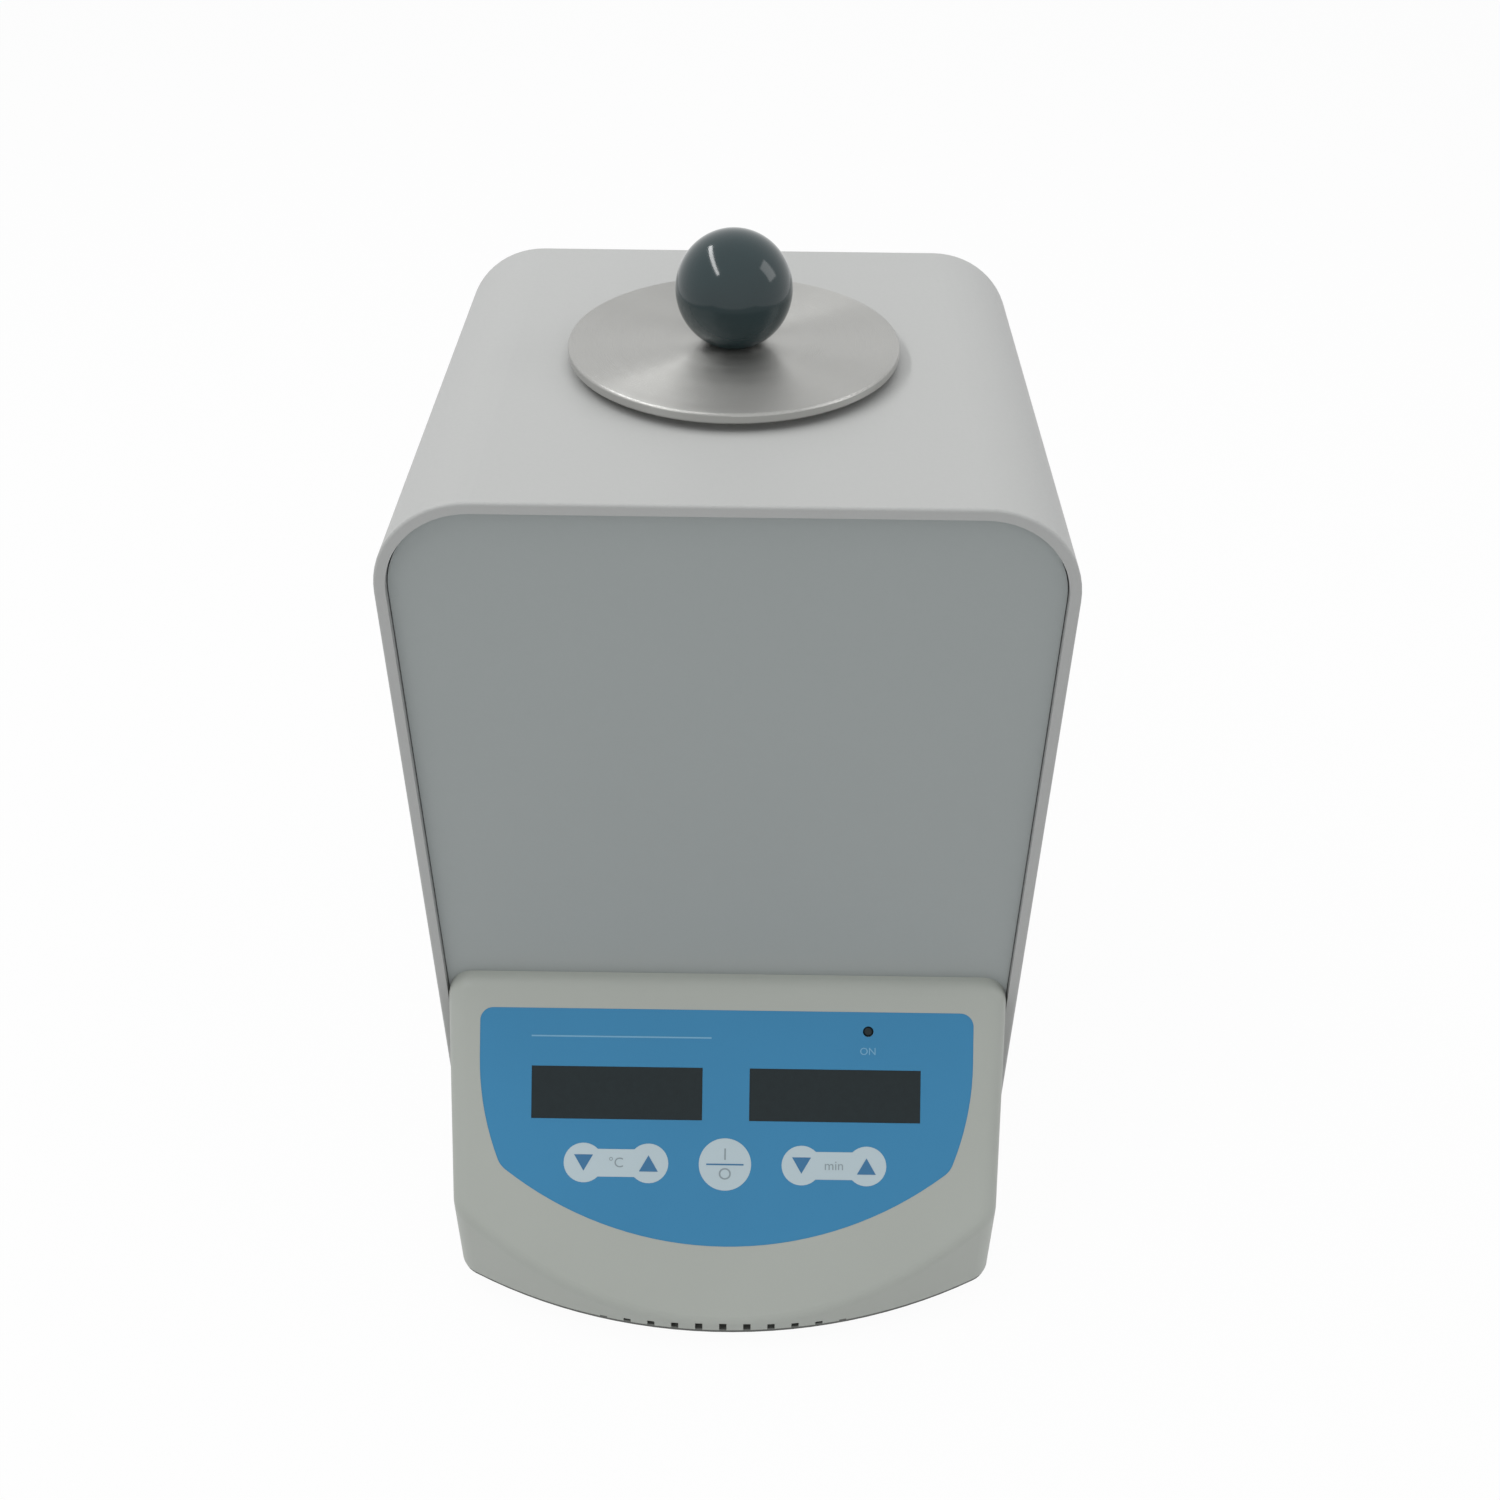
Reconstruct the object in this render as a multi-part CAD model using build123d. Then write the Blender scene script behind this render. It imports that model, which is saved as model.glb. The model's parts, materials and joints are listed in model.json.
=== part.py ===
from build123d import *
import math
import os

os.makedirs("parts", exist_ok=True)

# Glass bead sterilizer, in millimetres. +Z is up, the operator stands at -Y, and the origin lies on the bench
# under the middle of the whole device. Each value below is one size of the real thing.

# Outer cover: one sheet folded into an inverted U
cover_width = 176.0
cover_depth = 165.0
cover_top = 252.5
cover_wall = 3.0
cover_corner_radius = 26.0
cover_edge_round = 0.8
stand_height = 6.0

# Front and rear panels, each a sheet with a folded rim, set back inside the cover
panel_thickness = 1.5
panel_gap = 0.3
panel_rim_depth = 9.0
panel_rim_start = 24.0
front_recess = 2.0
rear_recess = 6.0

# Base plate: a floor with folded sides, four tabs and a tongue that closes the console
base_thickness = 1.5
base_side_height = 14.0
tab_width = 22.0
tab_spacing = 120.0
vent_length = 26.0
vent_width = 3.0
vent_pitch = 8.0
vent_count = 7
vent_row_offset = 40.0

# Feet
foot_radius = 9.0
foot_taper = 1.5
foot_front_margin = 26.0
foot_front_reach = 34.0
foot_rear_margin = 20.0
foot_rear_inset = 20.0
foot_screw_radius = 2.0

# Screws
screw_radius = 1.5
screw_head_radius = 2.8
screw_head_height = 1.8
screw_head_edge = 0.6
nut_height = 2.4
screw_clearance = 0.15
chassis_screw_length = 6.0
board_screw_length = 5.6
cover_screw_height = 8.0
cover_screw_inset = 32.0

# Console: moulded shell with a sloped face, a bowed nose and slots in its lower edge
console_side_gap = 0.4
console_draft = 2.6
console_projection = 65.0
console_corner_reach = 43.5
console_corner_radius = 9.0
console_height = 83.7
console_top_strip = 2.0
console_top_round = 8.0
console_skirt = 3.1
console_wall = 2.5
console_edge_round = 6.0
console_boss_radius = 3.6
console_boss_margin = 18.6
console_screw_length = 7.5
console_boss_low = 20.5
console_boss_high = 72.5
console_pilot_depth = 8.0
slot_count = 11
slot_pitch = 7.25
slot_width = 2.2
slot_middle_height = 2.9
slot_end_height = 0.6

# Membrane overlay: a film in a shallow recess of the sloped face, with places measured down the slope
overlay_margin = 10.6
overlay_top = 8.0
overlay_straight = 15.0
overlay_taper = 6.5
overlay_corner_drop = 47.5
overlay_drop = 71.0
overlay_top_round = 4.0
overlay_low_round = 7.0
overlay_recess = 0.6
film_thickness = 0.5
window_width = 51.3
window_height = 15.8
window_spacing = 65.4
window_drop = 33.3
window_gap = 0.05
window_ledge = 1.5
key_drop = 54.3
key_pitch = 19.5
key_hole_radius = 4.2
lamp_drop = 13.9
lamp_radius = 1.5
lamp_clearance = 0.1

# Control board behind the sloped face, with its depth measured square to the face
board_depth = 9.9
board_thickness = 1.6
board_margin = 14.6
board_top = 15.0
board_height = 50.0
board_boss_inset = 5.0
board_boss_radius = 3.2
board_pilot_depth = 5.0
display_gap = 0.3
chip_size = 12.0
chip_height = 2.0
buzzer_radius = 6.0
buzzer_height = 7.0

# Keys: tact switches under the film
switch_size = 8.0
switch_height = 4.0
plunger_radius = 1.75
plunger_cap_radius = 3.2
plunger_cap_height = 1.0
plunger_fit = 0.05
plunger_gap = 0.1
key_travel = 0.3
switch_floor = 0.5

# Well, collar and lid, on one upright axis
well_setback = 84.0
well_radius = 23.5
well_wall = 1.5
well_depth = 95.0
well_floor = 6.0
well_lip_radius = 29.0
well_lip_thickness = 1.2
well_floor_round = 3.0
well_fit = 0.3
collar_radius = 41.0
collar_thickness = 2.2
collar_neck_radius = 33.0
collar_neck_length = 12.0
bead_level = 22.0
bead_mound = 1.5
bead_fit = 0.2
lid_radius = 46.0
lid_thickness = 3.0
lid_edge_round = 0.7
locator_height = 5.0
locator_gap = 0.8
knob_radius = 16.0
knob_centre_height = 14.6
knob_screw_radius = 3.0
knob_screw_depth = 15.0
knob_screw_head_radius = 5.0
knob_screw_head_height = 3.0

# Heater, insulation and shield round the well
heater_thickness = 3.0
heater_height = 60.0
heater_drop = 22.0
heater_split = 6.0
heater_ear_length = 9.0
heater_ear_thickness = 1.5
heater_ear_height = 12.0
shield_radius = 42.8
shield_wall = 0.8
shield_gap = 0.3
insulation_base_height = 20.0
chimney_width = 20.0
probe_radius = 1.5
probe_length = 40.0
probe_pocket = 4.0
cutout_radius = 8.0
cutout_height = 6.0
cutout_offset = 24.0

# Bracket that carries the shield on the base plate
bracket_width = 118.0
bracket_depth = 76.0
bracket_thickness = 2.0
bracket_foot = 13.0
bracket_hole_radius = 8.0

# Power board and what stands on it
power_width = 88.0
power_depth = 104.0
power_front_gap = 12.0
standoff_height = 8.0
standoff_radius = 3.0
standoff_inset = 6.0
transformer_size = (36.0, 32.0, 30.0)
relay_size = (19.0, 15.5, 15.5)
terminal_size = (40.0, 10.0, 12.0)
capacitor_radius = 6.0
capacitor_height = 20.0
heat_sink_size = (12.0, 42.0, 30.0)
heat_sink_fins = 5
heat_sink_web = 3.0
heat_sink_inset = 4.0
heat_sink_shift = -10.0
triac_size = (4.5, 10.0, 15.0)
triac_rise = 4.0
triac_leg = 0.8
triac_leg_pitch = 2.5
transformer_inset = 4.0
transformer_shift = 8.0
transformer_coil_reach = 4.0
relay_gap = 8.5
relay_shift = 24.0
capacitor_gap = 0.5
capacitor_shift = 30.0
terminal_count = 5
terminal_rim = 4.0
terminal_hole_depth = 4.0

# Ribbon cable between the boards
ribbon_width = 20.0
ribbon_thickness = 1.0
header_height = 6.0
header_depth = 6.0
header_inset = 2.0
header_side = 1.0
ribbon_bend = 3.0
ribbon_leave = 8.0
ribbon_slot_height = 14.0

# Rear fittings
fitting_height = 32.0
inlet_offset = 44.0
inlet_width = 27.0
inlet_height = 20.0
inlet_depth = 24.0
inlet_flange_width = 50.0
inlet_flange_height = 26.0
inlet_flange_thickness = 2.0
inlet_wall = 1.3
inlet_cavity_depth = 16.0
inlet_screw_spacing = 40.0
pin_spacing = 14.0
pin_thickness = 2.0
pin_height = 4.0
pin_length = 14.0
tail_length = 8.0
earth_drop = 4.0
switch_offset = -6.0
rocker_width = 10.6
rocker_half_height = 8.0
rocker_end = 3.4
rocker_valley = 1.6
rocker_root = 3.0
rocker_tilt = 10.0
rocker_side_gap = 0.3
rocker_pin_radius = 1.2
rocker_pin_length = 1.0
rocker_pin_fit = 0.05
frame_wall = 1.4
frame_depth = 15.0
frame_flange = 1.6
frame_lip = 1.5
switch_tail_pitch = 6.0
switch_tail_width = 4.8
switch_tail_thickness = 0.8
fuse_offset = -48.0
fuse_radius = 6.0
fuse_flange_radius = 8.0
fuse_depth = 28.0
fuse_cap_radius = 6.5
fuse_cap_height = 3.0
fuse_flange_thickness = 1.5
fuse_wall = 2.0
rear_vent_length = 90.0
rear_vent_width = 3.0
rear_vent_pitch = 9.0
rear_vent_count = 8
rear_vent_height = 150.0
earth_stud_height = 14.0
earth_stud_gap = 3.0

# Leads: heater to terminals, inlet to fuse, switch and terminals, and earth
lead_radius = 1.2
lead_bend = 2.5
lead_pitch = 3.5
lead_leave = 4.5
lead_well_reach = 12.0
lead_hole_radius = 5.5

# Sizes that follow the cover's opening
console_width = cover_width - 2 * (cover_wall + console_side_gap)
console_nose_width = console_width - 2 * console_draft
console_boss_spacing = console_width - 2 * console_boss_margin
overlay_width = console_width - 2 * overlay_margin
overlay_corner_width = overlay_width - 2 * overlay_taper
board_width = console_width - 2 * board_margin
foot_front_spacing = console_nose_width - 2 * foot_front_margin
foot_rear_spacing = cover_width - 2 * foot_rear_margin

# Places worked out from the sizes
front_y = (console_projection - cover_depth) / 2
back_y = front_y + cover_depth
floor_top = stand_height + base_thickness
front_face_y = front_y + front_recess
rear_face_y = back_y - rear_recess
console_top = floor_top + console_height
slope_top_y = front_y - console_top_strip
slope_run = console_projection - console_top_strip
slope_rise = console_height - console_skirt
slope_angle = math.atan2(slope_run, slope_rise)
face_plane = Plane(
    origin=(0, slope_top_y, console_top),
    x_dir=(1, 0, 0),
    z_dir=(0, -math.cos(slope_angle), math.sin(slope_angle)),
)
well_y = front_y + well_setback
collar_top = cover_top + collar_thickness
lid_top = collar_top + lid_thickness
well_outer = well_radius + well_wall
well_bottom = collar_top - well_depth - well_floor
shield_bottom = well_bottom - insulation_base_height - shield_wall
shield_top = cover_top - cover_wall - shield_gap
bracket_top = shield_bottom
key_places = {
    "start_stop": 0.0,
    "temp_down": -window_spacing / 2 - key_pitch / 2,
    "temp_up": -window_spacing / 2 + key_pitch / 2,
    "time_down": window_spacing / 2 - key_pitch / 2,
    "time_up": window_spacing / 2 + key_pitch / 2,
}


def save(name, *solids):
    shape = solids[0] if len(solids) == 1 else Compound(children=list(solids))
    export_step(shape, os.path.join("parts", name + ".step"))


def block(x, y, z):
    # box between three pairs of limits
    size = Box(x[1] - x[0], y[1] - y[0], z[1] - z[0])
    return Pos((x[0] + x[1]) / 2, (y[0] + y[1]) / 2, (z[0] + z[1]) / 2) * size


def upright(radius, low, high, x=0.0, y=0.0):
    return Pos(x, y, (low + high) / 2) * Cylinder(radius, high - low)


def along_y(radius, near, far, x, z):
    return Pos(x, (near + far) / 2, z) * Rot(90, 0, 0) * Cylinder(radius, far - near)


def along_x(radius, near, far, y, z):
    return Pos((near + far) / 2, y, z) * Rot(0, 90, 0) * Cylinder(radius, far - near)


def on_face(shape, x, drop, depth=0.0):
    # puts a shape on the sloped face: across, down the slope, and inwards
    return face_plane * Pos(x, -drop, -depth) * shape


def arch_block(inset, low, near, far):
    # the cover's outline, moved inwards by inset, from near to far
    width = cover_width - 2 * inset
    top = cover_top - inset
    outline = Pos(0, (low + top) / 2) * Rectangle(width, top - low)
    outline = fillet(outline.vertices().group_by(Axis.Y)[-1], cover_corner_radius - inset)
    plane = Plane(origin=(0, far, 0), x_dir=(1, 0, 0), z_dir=(0, -1, 0))
    return extrude(plane * outline, far - near)


def screw(length):
    # pan-head screw that points down from its seat at the origin
    head = Pos(0, 0, screw_head_height / 2) * Cylinder(screw_head_radius, screw_head_height)
    head = chamfer(head.edges().group_by(Axis.Z)[-1], screw_head_edge)
    slot = Pos(0, 0, screw_head_height) * Box(screw_head_radius * 1.3, 0.6, 0.8)
    cross = Pos(0, 0, screw_head_height) * Box(0.6, screw_head_radius * 1.3, 0.8)
    return head - slot - cross + Pos(0, 0, -length / 2) * Cylinder(screw_radius, length)


def outer_cover():
    shell = arch_block(0, stand_height, front_y, back_y)
    rims = [shell.faces().sort_by(Axis.Y)[0], shell.faces().sort_by(Axis.Y)[-1]]
    edges = [edge for rim in rims for edge in rim.edges() if edge.center().Z > stand_height + 1]
    shell = fillet(edges, cover_edge_round)
    shell -= arch_block(cover_wall, stand_height - 1, front_y - 1, back_y + 1)
    shell -= upright(collar_neck_radius + well_fit, cover_top - 2 * cover_wall, cover_top + 1, 0, well_y)
    hole = screw_radius + screw_clearance
    for x, y in cover_screw_places():
        shell -= along_x(hole, x - 2 * cover_wall, x + 2 * cover_wall, y, cover_screw_z())
    return shell


def cover_screw_places():
    ends = (front_y + cover_screw_inset, back_y - cover_screw_inset)
    return [(side * cover_width / 2, y) for side in (-1, 1) for y in ends]


def cover_screw_z():
    return stand_height + cover_screw_height


def cover_screws():
    length = cover_wall + panel_gap + base_thickness + 3
    placed = []
    for x, y in cover_screw_places():
        turn = 90 if x > 0 else -90
        placed.append(Pos(x, y, cover_screw_z()) * Rot(0, turn, 0) * screw(length))
    return placed


def folded_panel(face_y, inwards):
    # a plate in the cover's opening with a rim folded towards the middle of the device
    inset = cover_wall + panel_gap
    near, far = sorted((face_y, face_y + inwards * panel_thickness))
    plate = arch_block(inset, floor_top, near, far)
    rim_near, rim_far = sorted((face_y, face_y + inwards * (panel_thickness + panel_rim_depth)))
    rim = arch_block(inset, stand_height + panel_rim_start, rim_near, rim_far)
    hollow_low = stand_height + panel_rim_start - 1
    rim -= arch_block(inset + panel_thickness, hollow_low, rim_near - 1, rim_far + 1)
    return plate + rim


def tab_places():
    return [-tab_spacing / 2, tab_spacing / 2]


def tab_screw_z():
    return floor_top + base_side_height / 2


def console_screw_places():
    heights = (floor_top + console_boss_low, floor_top + console_boss_high)
    return [(side * console_boss_spacing / 2, z) for side in (-1, 1) for z in heights]


def ribbon_slot_z():
    return power_top() + header_height + ribbon_leave


def front_panel():
    panel = folded_panel(front_face_y, 1)
    reach = (front_face_y - 1, front_face_y + panel_thickness + 1)
    for x, z in console_screw_places():
        panel -= along_y(screw_radius + screw_clearance, reach[0], reach[1], x, z)
    for x in tab_places():
        panel -= along_y(screw_radius + screw_clearance, reach[0], reach[1], x, tab_screw_z())
    half = ribbon_width / 2 + 3
    low = ribbon_slot_z() - ribbon_slot_height / 2
    return panel - block((-half, half), reach, (low, low + ribbon_slot_height))


def rear_panel():
    panel = folded_panel(rear_face_y, -1)
    reach = (rear_face_y - panel_thickness - 1, rear_face_y + 1)
    for x in tab_places():
        panel -= along_y(screw_radius + screw_clearance, reach[0], reach[1], x, tab_screw_z())
    z = fitting_z()
    half_w = inlet_width / 2 + screw_clearance
    half_h = inlet_height / 2 + screw_clearance
    panel -= block((inlet_offset - half_w, inlet_offset + half_w), reach, (z - half_h, z + half_h))
    for side in (-1, 1):
        x = inlet_offset + side * inlet_screw_spacing / 2
        panel -= along_y(screw_radius + screw_clearance, reach[0], reach[1], x, z)
    half_w = frame_half_width() + screw_clearance
    half_h = frame_half_height() + screw_clearance
    panel -= block((switch_offset - half_w, switch_offset + half_w), reach, (z - half_h, z + half_h))
    panel -= along_y(fuse_radius + screw_clearance, reach[0], reach[1], fuse_offset, z)
    plane = Plane(origin=(0, rear_face_y + 1, 0), x_dir=(1, 0, 0), z_dir=(0, -1, 0))
    for index in range(rear_vent_count):
        height = rear_vent_height + index * rear_vent_pitch
        slot = plane * Pos(0, height) * SlotOverall(rear_vent_length, rear_vent_width)
        panel -= extrude(slot, panel_thickness + 2)
    return panel


def panel_screws(face_y, outwards):
    turn = Rot(-90, 0, 0) if outwards > 0 else Rot(90, 0, 0)
    return [Pos(x, face_y, tab_screw_z()) * turn * screw(chassis_screw_length) for x in tab_places()]


def console_plan(inset, back):
    half = console_width / 2 - inset
    nose_half = console_nose_width / 2 - inset
    corner_y = front_y - console_corner_reach + inset
    nose_y = front_y - console_projection + inset
    sides = Polyline((-nose_half, corner_y), (-half, back), (half, back), (nose_half, corner_y))
    bow = ThreePointArc((nose_half, corner_y), (0, nose_y), (-nose_half, corner_y))
    plan = make_face(sides + bow)
    return fillet(plan.vertices().sort_by(Axis.Y)[:2], console_corner_radius - inset)


def above_slope(inset):
    # everything in front of the sloped face, or of a plane inset below it
    reach = 2 * console_projection + 2 * console_height
    return on_face(Pos(0, 0, reach / 2) * Box(2 * console_width, 2 * reach, reach), 0, 0, inset)


def console_body():
    body = extrude(Pos(0, 0, floor_top) * console_plan(0, front_face_y), console_height)
    top = body.faces().sort_by(Axis.Z)[-1]
    sides = [edge for edge in top.edges() if abs(edge.center().X) > console_width / 2 - 4]
    body = fillet(sides, console_top_round)
    body -= above_slope(0)
    normal = face_plane.z_dir
    sloped = [face for face in body.faces() if (face.normal_at() - normal).length < 0.001]
    return fillet(sloped[0].edges(), console_edge_round)


def console_hollow():
    # the console's inside, open behind and below
    plan = console_plan(console_wall, front_face_y + 5)
    height = console_height - console_wall + 1
    hollow = extrude(Pos(0, 0, floor_top - 1) * plan, height)
    return hollow - above_slope(console_wall)


def overlay_outline():
    half = overlay_width / 2
    corner = (overlay_corner_width / 2, -overlay_top - overlay_corner_drop)
    bend = (half, -overlay_top - overlay_straight)
    top = -overlay_top
    right = TangentArc(bend, corner, tangent=(0, -1))
    left = TangentArc((-bend[0], bend[1]), (-corner[0], corner[1]), tangent=(0, -1))
    rim = Polyline(bend, (half, top), (-half, top), (-bend[0], bend[1]))
    bow = ThreePointArc(corner, (0, -overlay_top - overlay_drop), (-corner[0], corner[1]))
    outline = make_face(rim + right + left + bow)
    by_height = outline.vertices().group_by(Axis.Y)
    outline = fillet(by_height[-1], overlay_top_round)
    return fillet(outline.vertices().group_by(Axis.Y)[0], overlay_low_round)


def window_places():
    return [-window_spacing / 2, window_spacing / 2]


def board_boss_places():
    half = board_width / 2 - board_boss_inset
    drops = (board_top + board_boss_inset, board_top + board_height - board_boss_inset)
    return [(side * half, drop) for side in (-1, 1) for drop in drops]


def console_bosses(outer):
    bosses = []
    for x, z in console_screw_places():
        post = along_y(console_boss_radius, slope_top_y - slope_run, front_face_y, x, z)
        bosses.append(post & outer)
    for x, drop in board_boss_places():
        post = Cylinder(board_boss_radius, board_depth, align=(Align.CENTER, Align.CENTER, Align.MAX))
        bosses.append(on_face(post, x, drop) & outer)
    return bosses


def lower_edge_slots():
    slots = []
    radius = bow_radius(0)
    for index in range(slot_count):
        offset = index - (slot_count - 1) / 2
        share = (2 * offset / (slot_count - 1)) ** 2
        x = offset * slot_pitch
        rise = slot_middle_height + (slot_end_height - slot_middle_height) * share
        skin = front_y - console_projection + radius - math.sqrt(radius ** 2 - x ** 2)
        reach = (skin - 1, skin + 2 * console_wall)
        across = (x - slot_width / 2, x + slot_width / 2)
        slots.append(block(across, reach, (floor_top - 1, floor_top + rise)))
    return slots


def bow_radius(inset):
    half = console_nose_width / 2 - inset
    rise = console_projection - console_corner_reach
    return (half ** 2 + rise ** 2) / (2 * rise)


def control_housing():
    outer = console_body()
    housing = outer - console_hollow()
    for boss in console_bosses(outer):
        housing += boss
    housing -= face_plane * extrude(overlay_outline(), -overlay_recess)
    for x in window_places():
        opening = Box(window_width - 2 * window_ledge, window_height - 2 * window_ledge, 3 * console_wall)
        housing -= on_face(opening, x, window_drop)
    for x in key_places.values():
        housing -= on_face(Cylinder(key_hole_radius, 3 * console_wall), x, key_drop)
    housing -= on_face(Cylinder(lamp_radius + lamp_clearance, 3 * console_wall), lamp_x(), lamp_drop)
    for x, z in console_screw_places():
        housing -= along_y(screw_radius, front_face_y - console_pilot_depth, front_face_y, x, z)
    for x, drop in board_boss_places():
        pilot = Cylinder(screw_radius, board_pilot_depth, align=(Align.CENTER, Align.CENTER, Align.MIN))
        housing -= on_face(pilot, x, drop, board_depth)
    for slot in lower_edge_slots():
        housing -= slot
    return housing


def lamp_x():
    return key_places["time_up"]


def membrane_overlay():
    film = Pos(0, 0, -overlay_recess) * extrude(overlay_outline(), film_thickness)
    for x in window_places():
        film -= Pos(x, -window_drop, -overlay_recess) * Box(window_width, window_height, 4 * film_thickness)
    hole = Cylinder(lamp_radius + lamp_clearance, 4 * film_thickness)
    return face_plane * (film - Pos(lamp_x(), -lamp_drop, -overlay_recess) * hole)


def display_window(x):
    low = (Align.CENTER, Align.CENTER, Align.MIN)
    pane = Box(window_width - 2 * window_gap, window_height - 2 * window_gap, film_thickness, align=low)
    return on_face(pane, x, window_drop, overlay_recess)


def running_lamp():
    top = overlay_recess - film_thickness / 2
    low = (Align.CENTER, Align.CENTER, Align.MIN)
    stem = Cylinder(lamp_radius, board_depth - top, align=low)
    stem = fillet(stem.edges().group_by(Axis.Z)[-1], lamp_radius * 0.5)
    stem += Cylinder(lamp_radius * 1.25, 1.0, align=low)
    return on_face(stem, lamp_x(), lamp_drop, board_depth)


def display_module(x):
    # four-digit module whose digits are sunk lines in its face
    low = (Align.CENTER, Align.CENTER, Align.MIN)
    width = window_width - 2 * window_ledge - 1
    height = window_height - 2 * window_ledge - 1
    tall = board_depth - overlay_recess - display_gap
    module = Box(width, height, tall, align=low)
    digit = width / 4
    for index in range(4):
        centre = (index - 1.5) * digit
        for rise in (-1, 0, 1):
            module -= Pos(centre, rise * height * 0.36, tall) * Box(digit * 0.5, 1.0, 0.4)
    return on_face(module, x, window_drop, board_depth)


def control_board():
    low = (Align.CENTER, Align.CENTER, Align.MAX)
    board = Box(board_width, board_height, board_thickness, align=low)
    centre = board_top + board_height / 2
    board = on_face(board, 0, centre, board_depth)
    for x, drop in board_boss_places():
        board -= on_face(Cylinder(screw_radius + screw_clearance, 4 * board_thickness), x, drop, board_depth)
    return board


def control_board_screws():
    turned = Rot(180, 0, 0) * screw(board_screw_length)
    return [on_face(turned, x, drop, board_depth + board_thickness) for x, drop in board_boss_places()]


def tact_switches():
    low = (Align.CENTER, Align.CENTER, Align.MIN)
    bodies = []
    for x in key_places.values():
        body = Box(switch_size, switch_size, switch_height, align=low)
        body = chamfer(body.edges().filter_by(Axis.Z), 1.0)
        body -= Pos(0, 0, switch_floor) * Cylinder(plunger_radius + plunger_fit, switch_height, align=low)
        bodies.append(on_face(body, x, key_drop, board_depth))
    return bodies


def key_plunger(x):
    # stem in the switch and a cap just under the film
    low = (Align.CENTER, Align.CENTER, Align.MIN)
    start = switch_floor + key_travel + plunger_gap
    tall = board_depth - overlay_recess - plunger_gap
    stem = Pos(0, 0, start) * Cylinder(plunger_radius, tall - start, align=low)
    cap = Pos(0, 0, tall - plunger_cap_height) * Cylinder(plunger_cap_radius, plunger_cap_height, align=low)
    return on_face(stem + cap, x, key_drop, board_depth)


def controller_chip():
    top = (Align.CENTER, Align.CENTER, Align.MAX)
    chip = Box(chip_size, chip_size, chip_height, align=top)
    return on_face(chip, -board_width / 4, window_drop, board_depth + board_thickness)


def buzzer():
    top = (Align.CENTER, Align.CENTER, Align.MAX)
    can = Cylinder(buzzer_radius, buzzer_height, align=top)
    can -= Pos(0, 0, -buzzer_height) * Cylinder(1.0, 2.0)
    return on_face(can, board_width / 4, window_drop + window_height / 2, board_depth + board_thickness)


def foot_places():
    front = front_y - foot_front_reach
    rear = back_y - rear_recess - foot_rear_inset
    pairs = ((foot_front_spacing, front), (foot_rear_spacing, rear))
    return [(side * spacing / 2, y) for spacing, y in pairs for side in (-1, 1)]


def rubber_foot(x, y):
    foot = upright(foot_radius, 0, stand_height)
    foot = chamfer(foot.edges().group_by(Axis.Z)[0], foot_taper)
    foot -= upright(foot_screw_radius, stand_height / 2, stand_height + 1)
    return Pos(x, y, 0) * foot


def foot_screws():
    low = (Align.CENTER, Align.CENTER, Align.MIN)
    placed = []
    for x, y in foot_places():
        head = Cylinder(foot_screw_radius * 1.9, foot_screw_radius, align=low)
        head = fillet(head.edges().group_by(Axis.Z)[-1], foot_screw_radius * 0.4)
        shank_length = base_thickness + stand_height / 2
        shank = Cylinder(foot_screw_radius, shank_length, align=(Align.CENTER, Align.CENTER, Align.MAX))
        placed.append(Pos(x, y, floor_top) * (head + shank))
    return placed


def bracket_foot_places():
    x = bracket_width / 2 + bracket_foot / 2
    return [(side * x, well_y + end * bracket_depth / 3) for side in (-1, 1) for end in (-1, 1)]


def base_plate():
    half = cover_width / 2 - cover_wall - panel_gap
    floor = block((-half, half), (front_face_y, rear_face_y), (stand_height, floor_top))
    tongue = extrude(Pos(0, 0, stand_height) * console_plan(panel_gap, front_face_y + 1), base_thickness)
    plate = floor + tongue
    ends = (front_face_y + panel_thickness + panel_gap, rear_face_y - panel_thickness - panel_gap)
    for side in (-1, 1):
        x = sorted((side * half, side * (half - base_thickness)))
        plate += block(x, ends, (stand_height, stand_height + base_side_height))
    for x in tab_places():
        for y, inwards in ((front_face_y, 1), (rear_face_y, -1)):
            near = y + inwards * panel_thickness
            reach = sorted((near, near + inwards * base_thickness))
            across = (x - tab_width / 2, x + tab_width / 2)
            tab = block(across, reach, (stand_height, floor_top + base_side_height))
            plate += tab - along_y(screw_radius, reach[0] - 1, reach[1] + 1, x, tab_screw_z())
    for x, y in foot_places():
        plate -= upright(foot_screw_radius + screw_clearance, stand_height - 1, floor_top + 1, x, y)
    for x, y in cover_screw_places():
        inner = x - math.copysign(cover_wall, x)
        plate -= along_x(screw_radius, inner - 4, inner + 4, y, cover_screw_z())
    for x, y in bracket_foot_places() + standoff_places() + [(earth_x(), earth_y())]:
        plate -= upright(screw_radius, stand_height - 1, floor_top + 1, x, y)
    for row in (-1, 1):
        for index in range(vent_count):
            x = (index - (vent_count - 1) / 2) * vent_pitch
            y = power_centre_y() + row * vent_row_offset / 2
            slot = Pos(x, y, stand_height - 1) * Rot(0, 0, 90) * SlotOverall(vent_length, vent_width)
            plate -= extrude(slot, base_thickness + 2)
    return plate


def earth_x():
    # beside the power board, clear of it
    return -power_width / 2 - earth_stud_gap


def earth_y():
    return rear_face_y - panel_thickness - fuse_depth - 16


def earth_stud():
    base = upright(screw_radius, stand_height, floor_top + earth_stud_height, earth_x(), earth_y())
    nut = Pos(earth_x(), earth_y(), floor_top) * extrude(RegularPolygon(screw_head_radius, 6), nut_height)
    return base + nut


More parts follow.
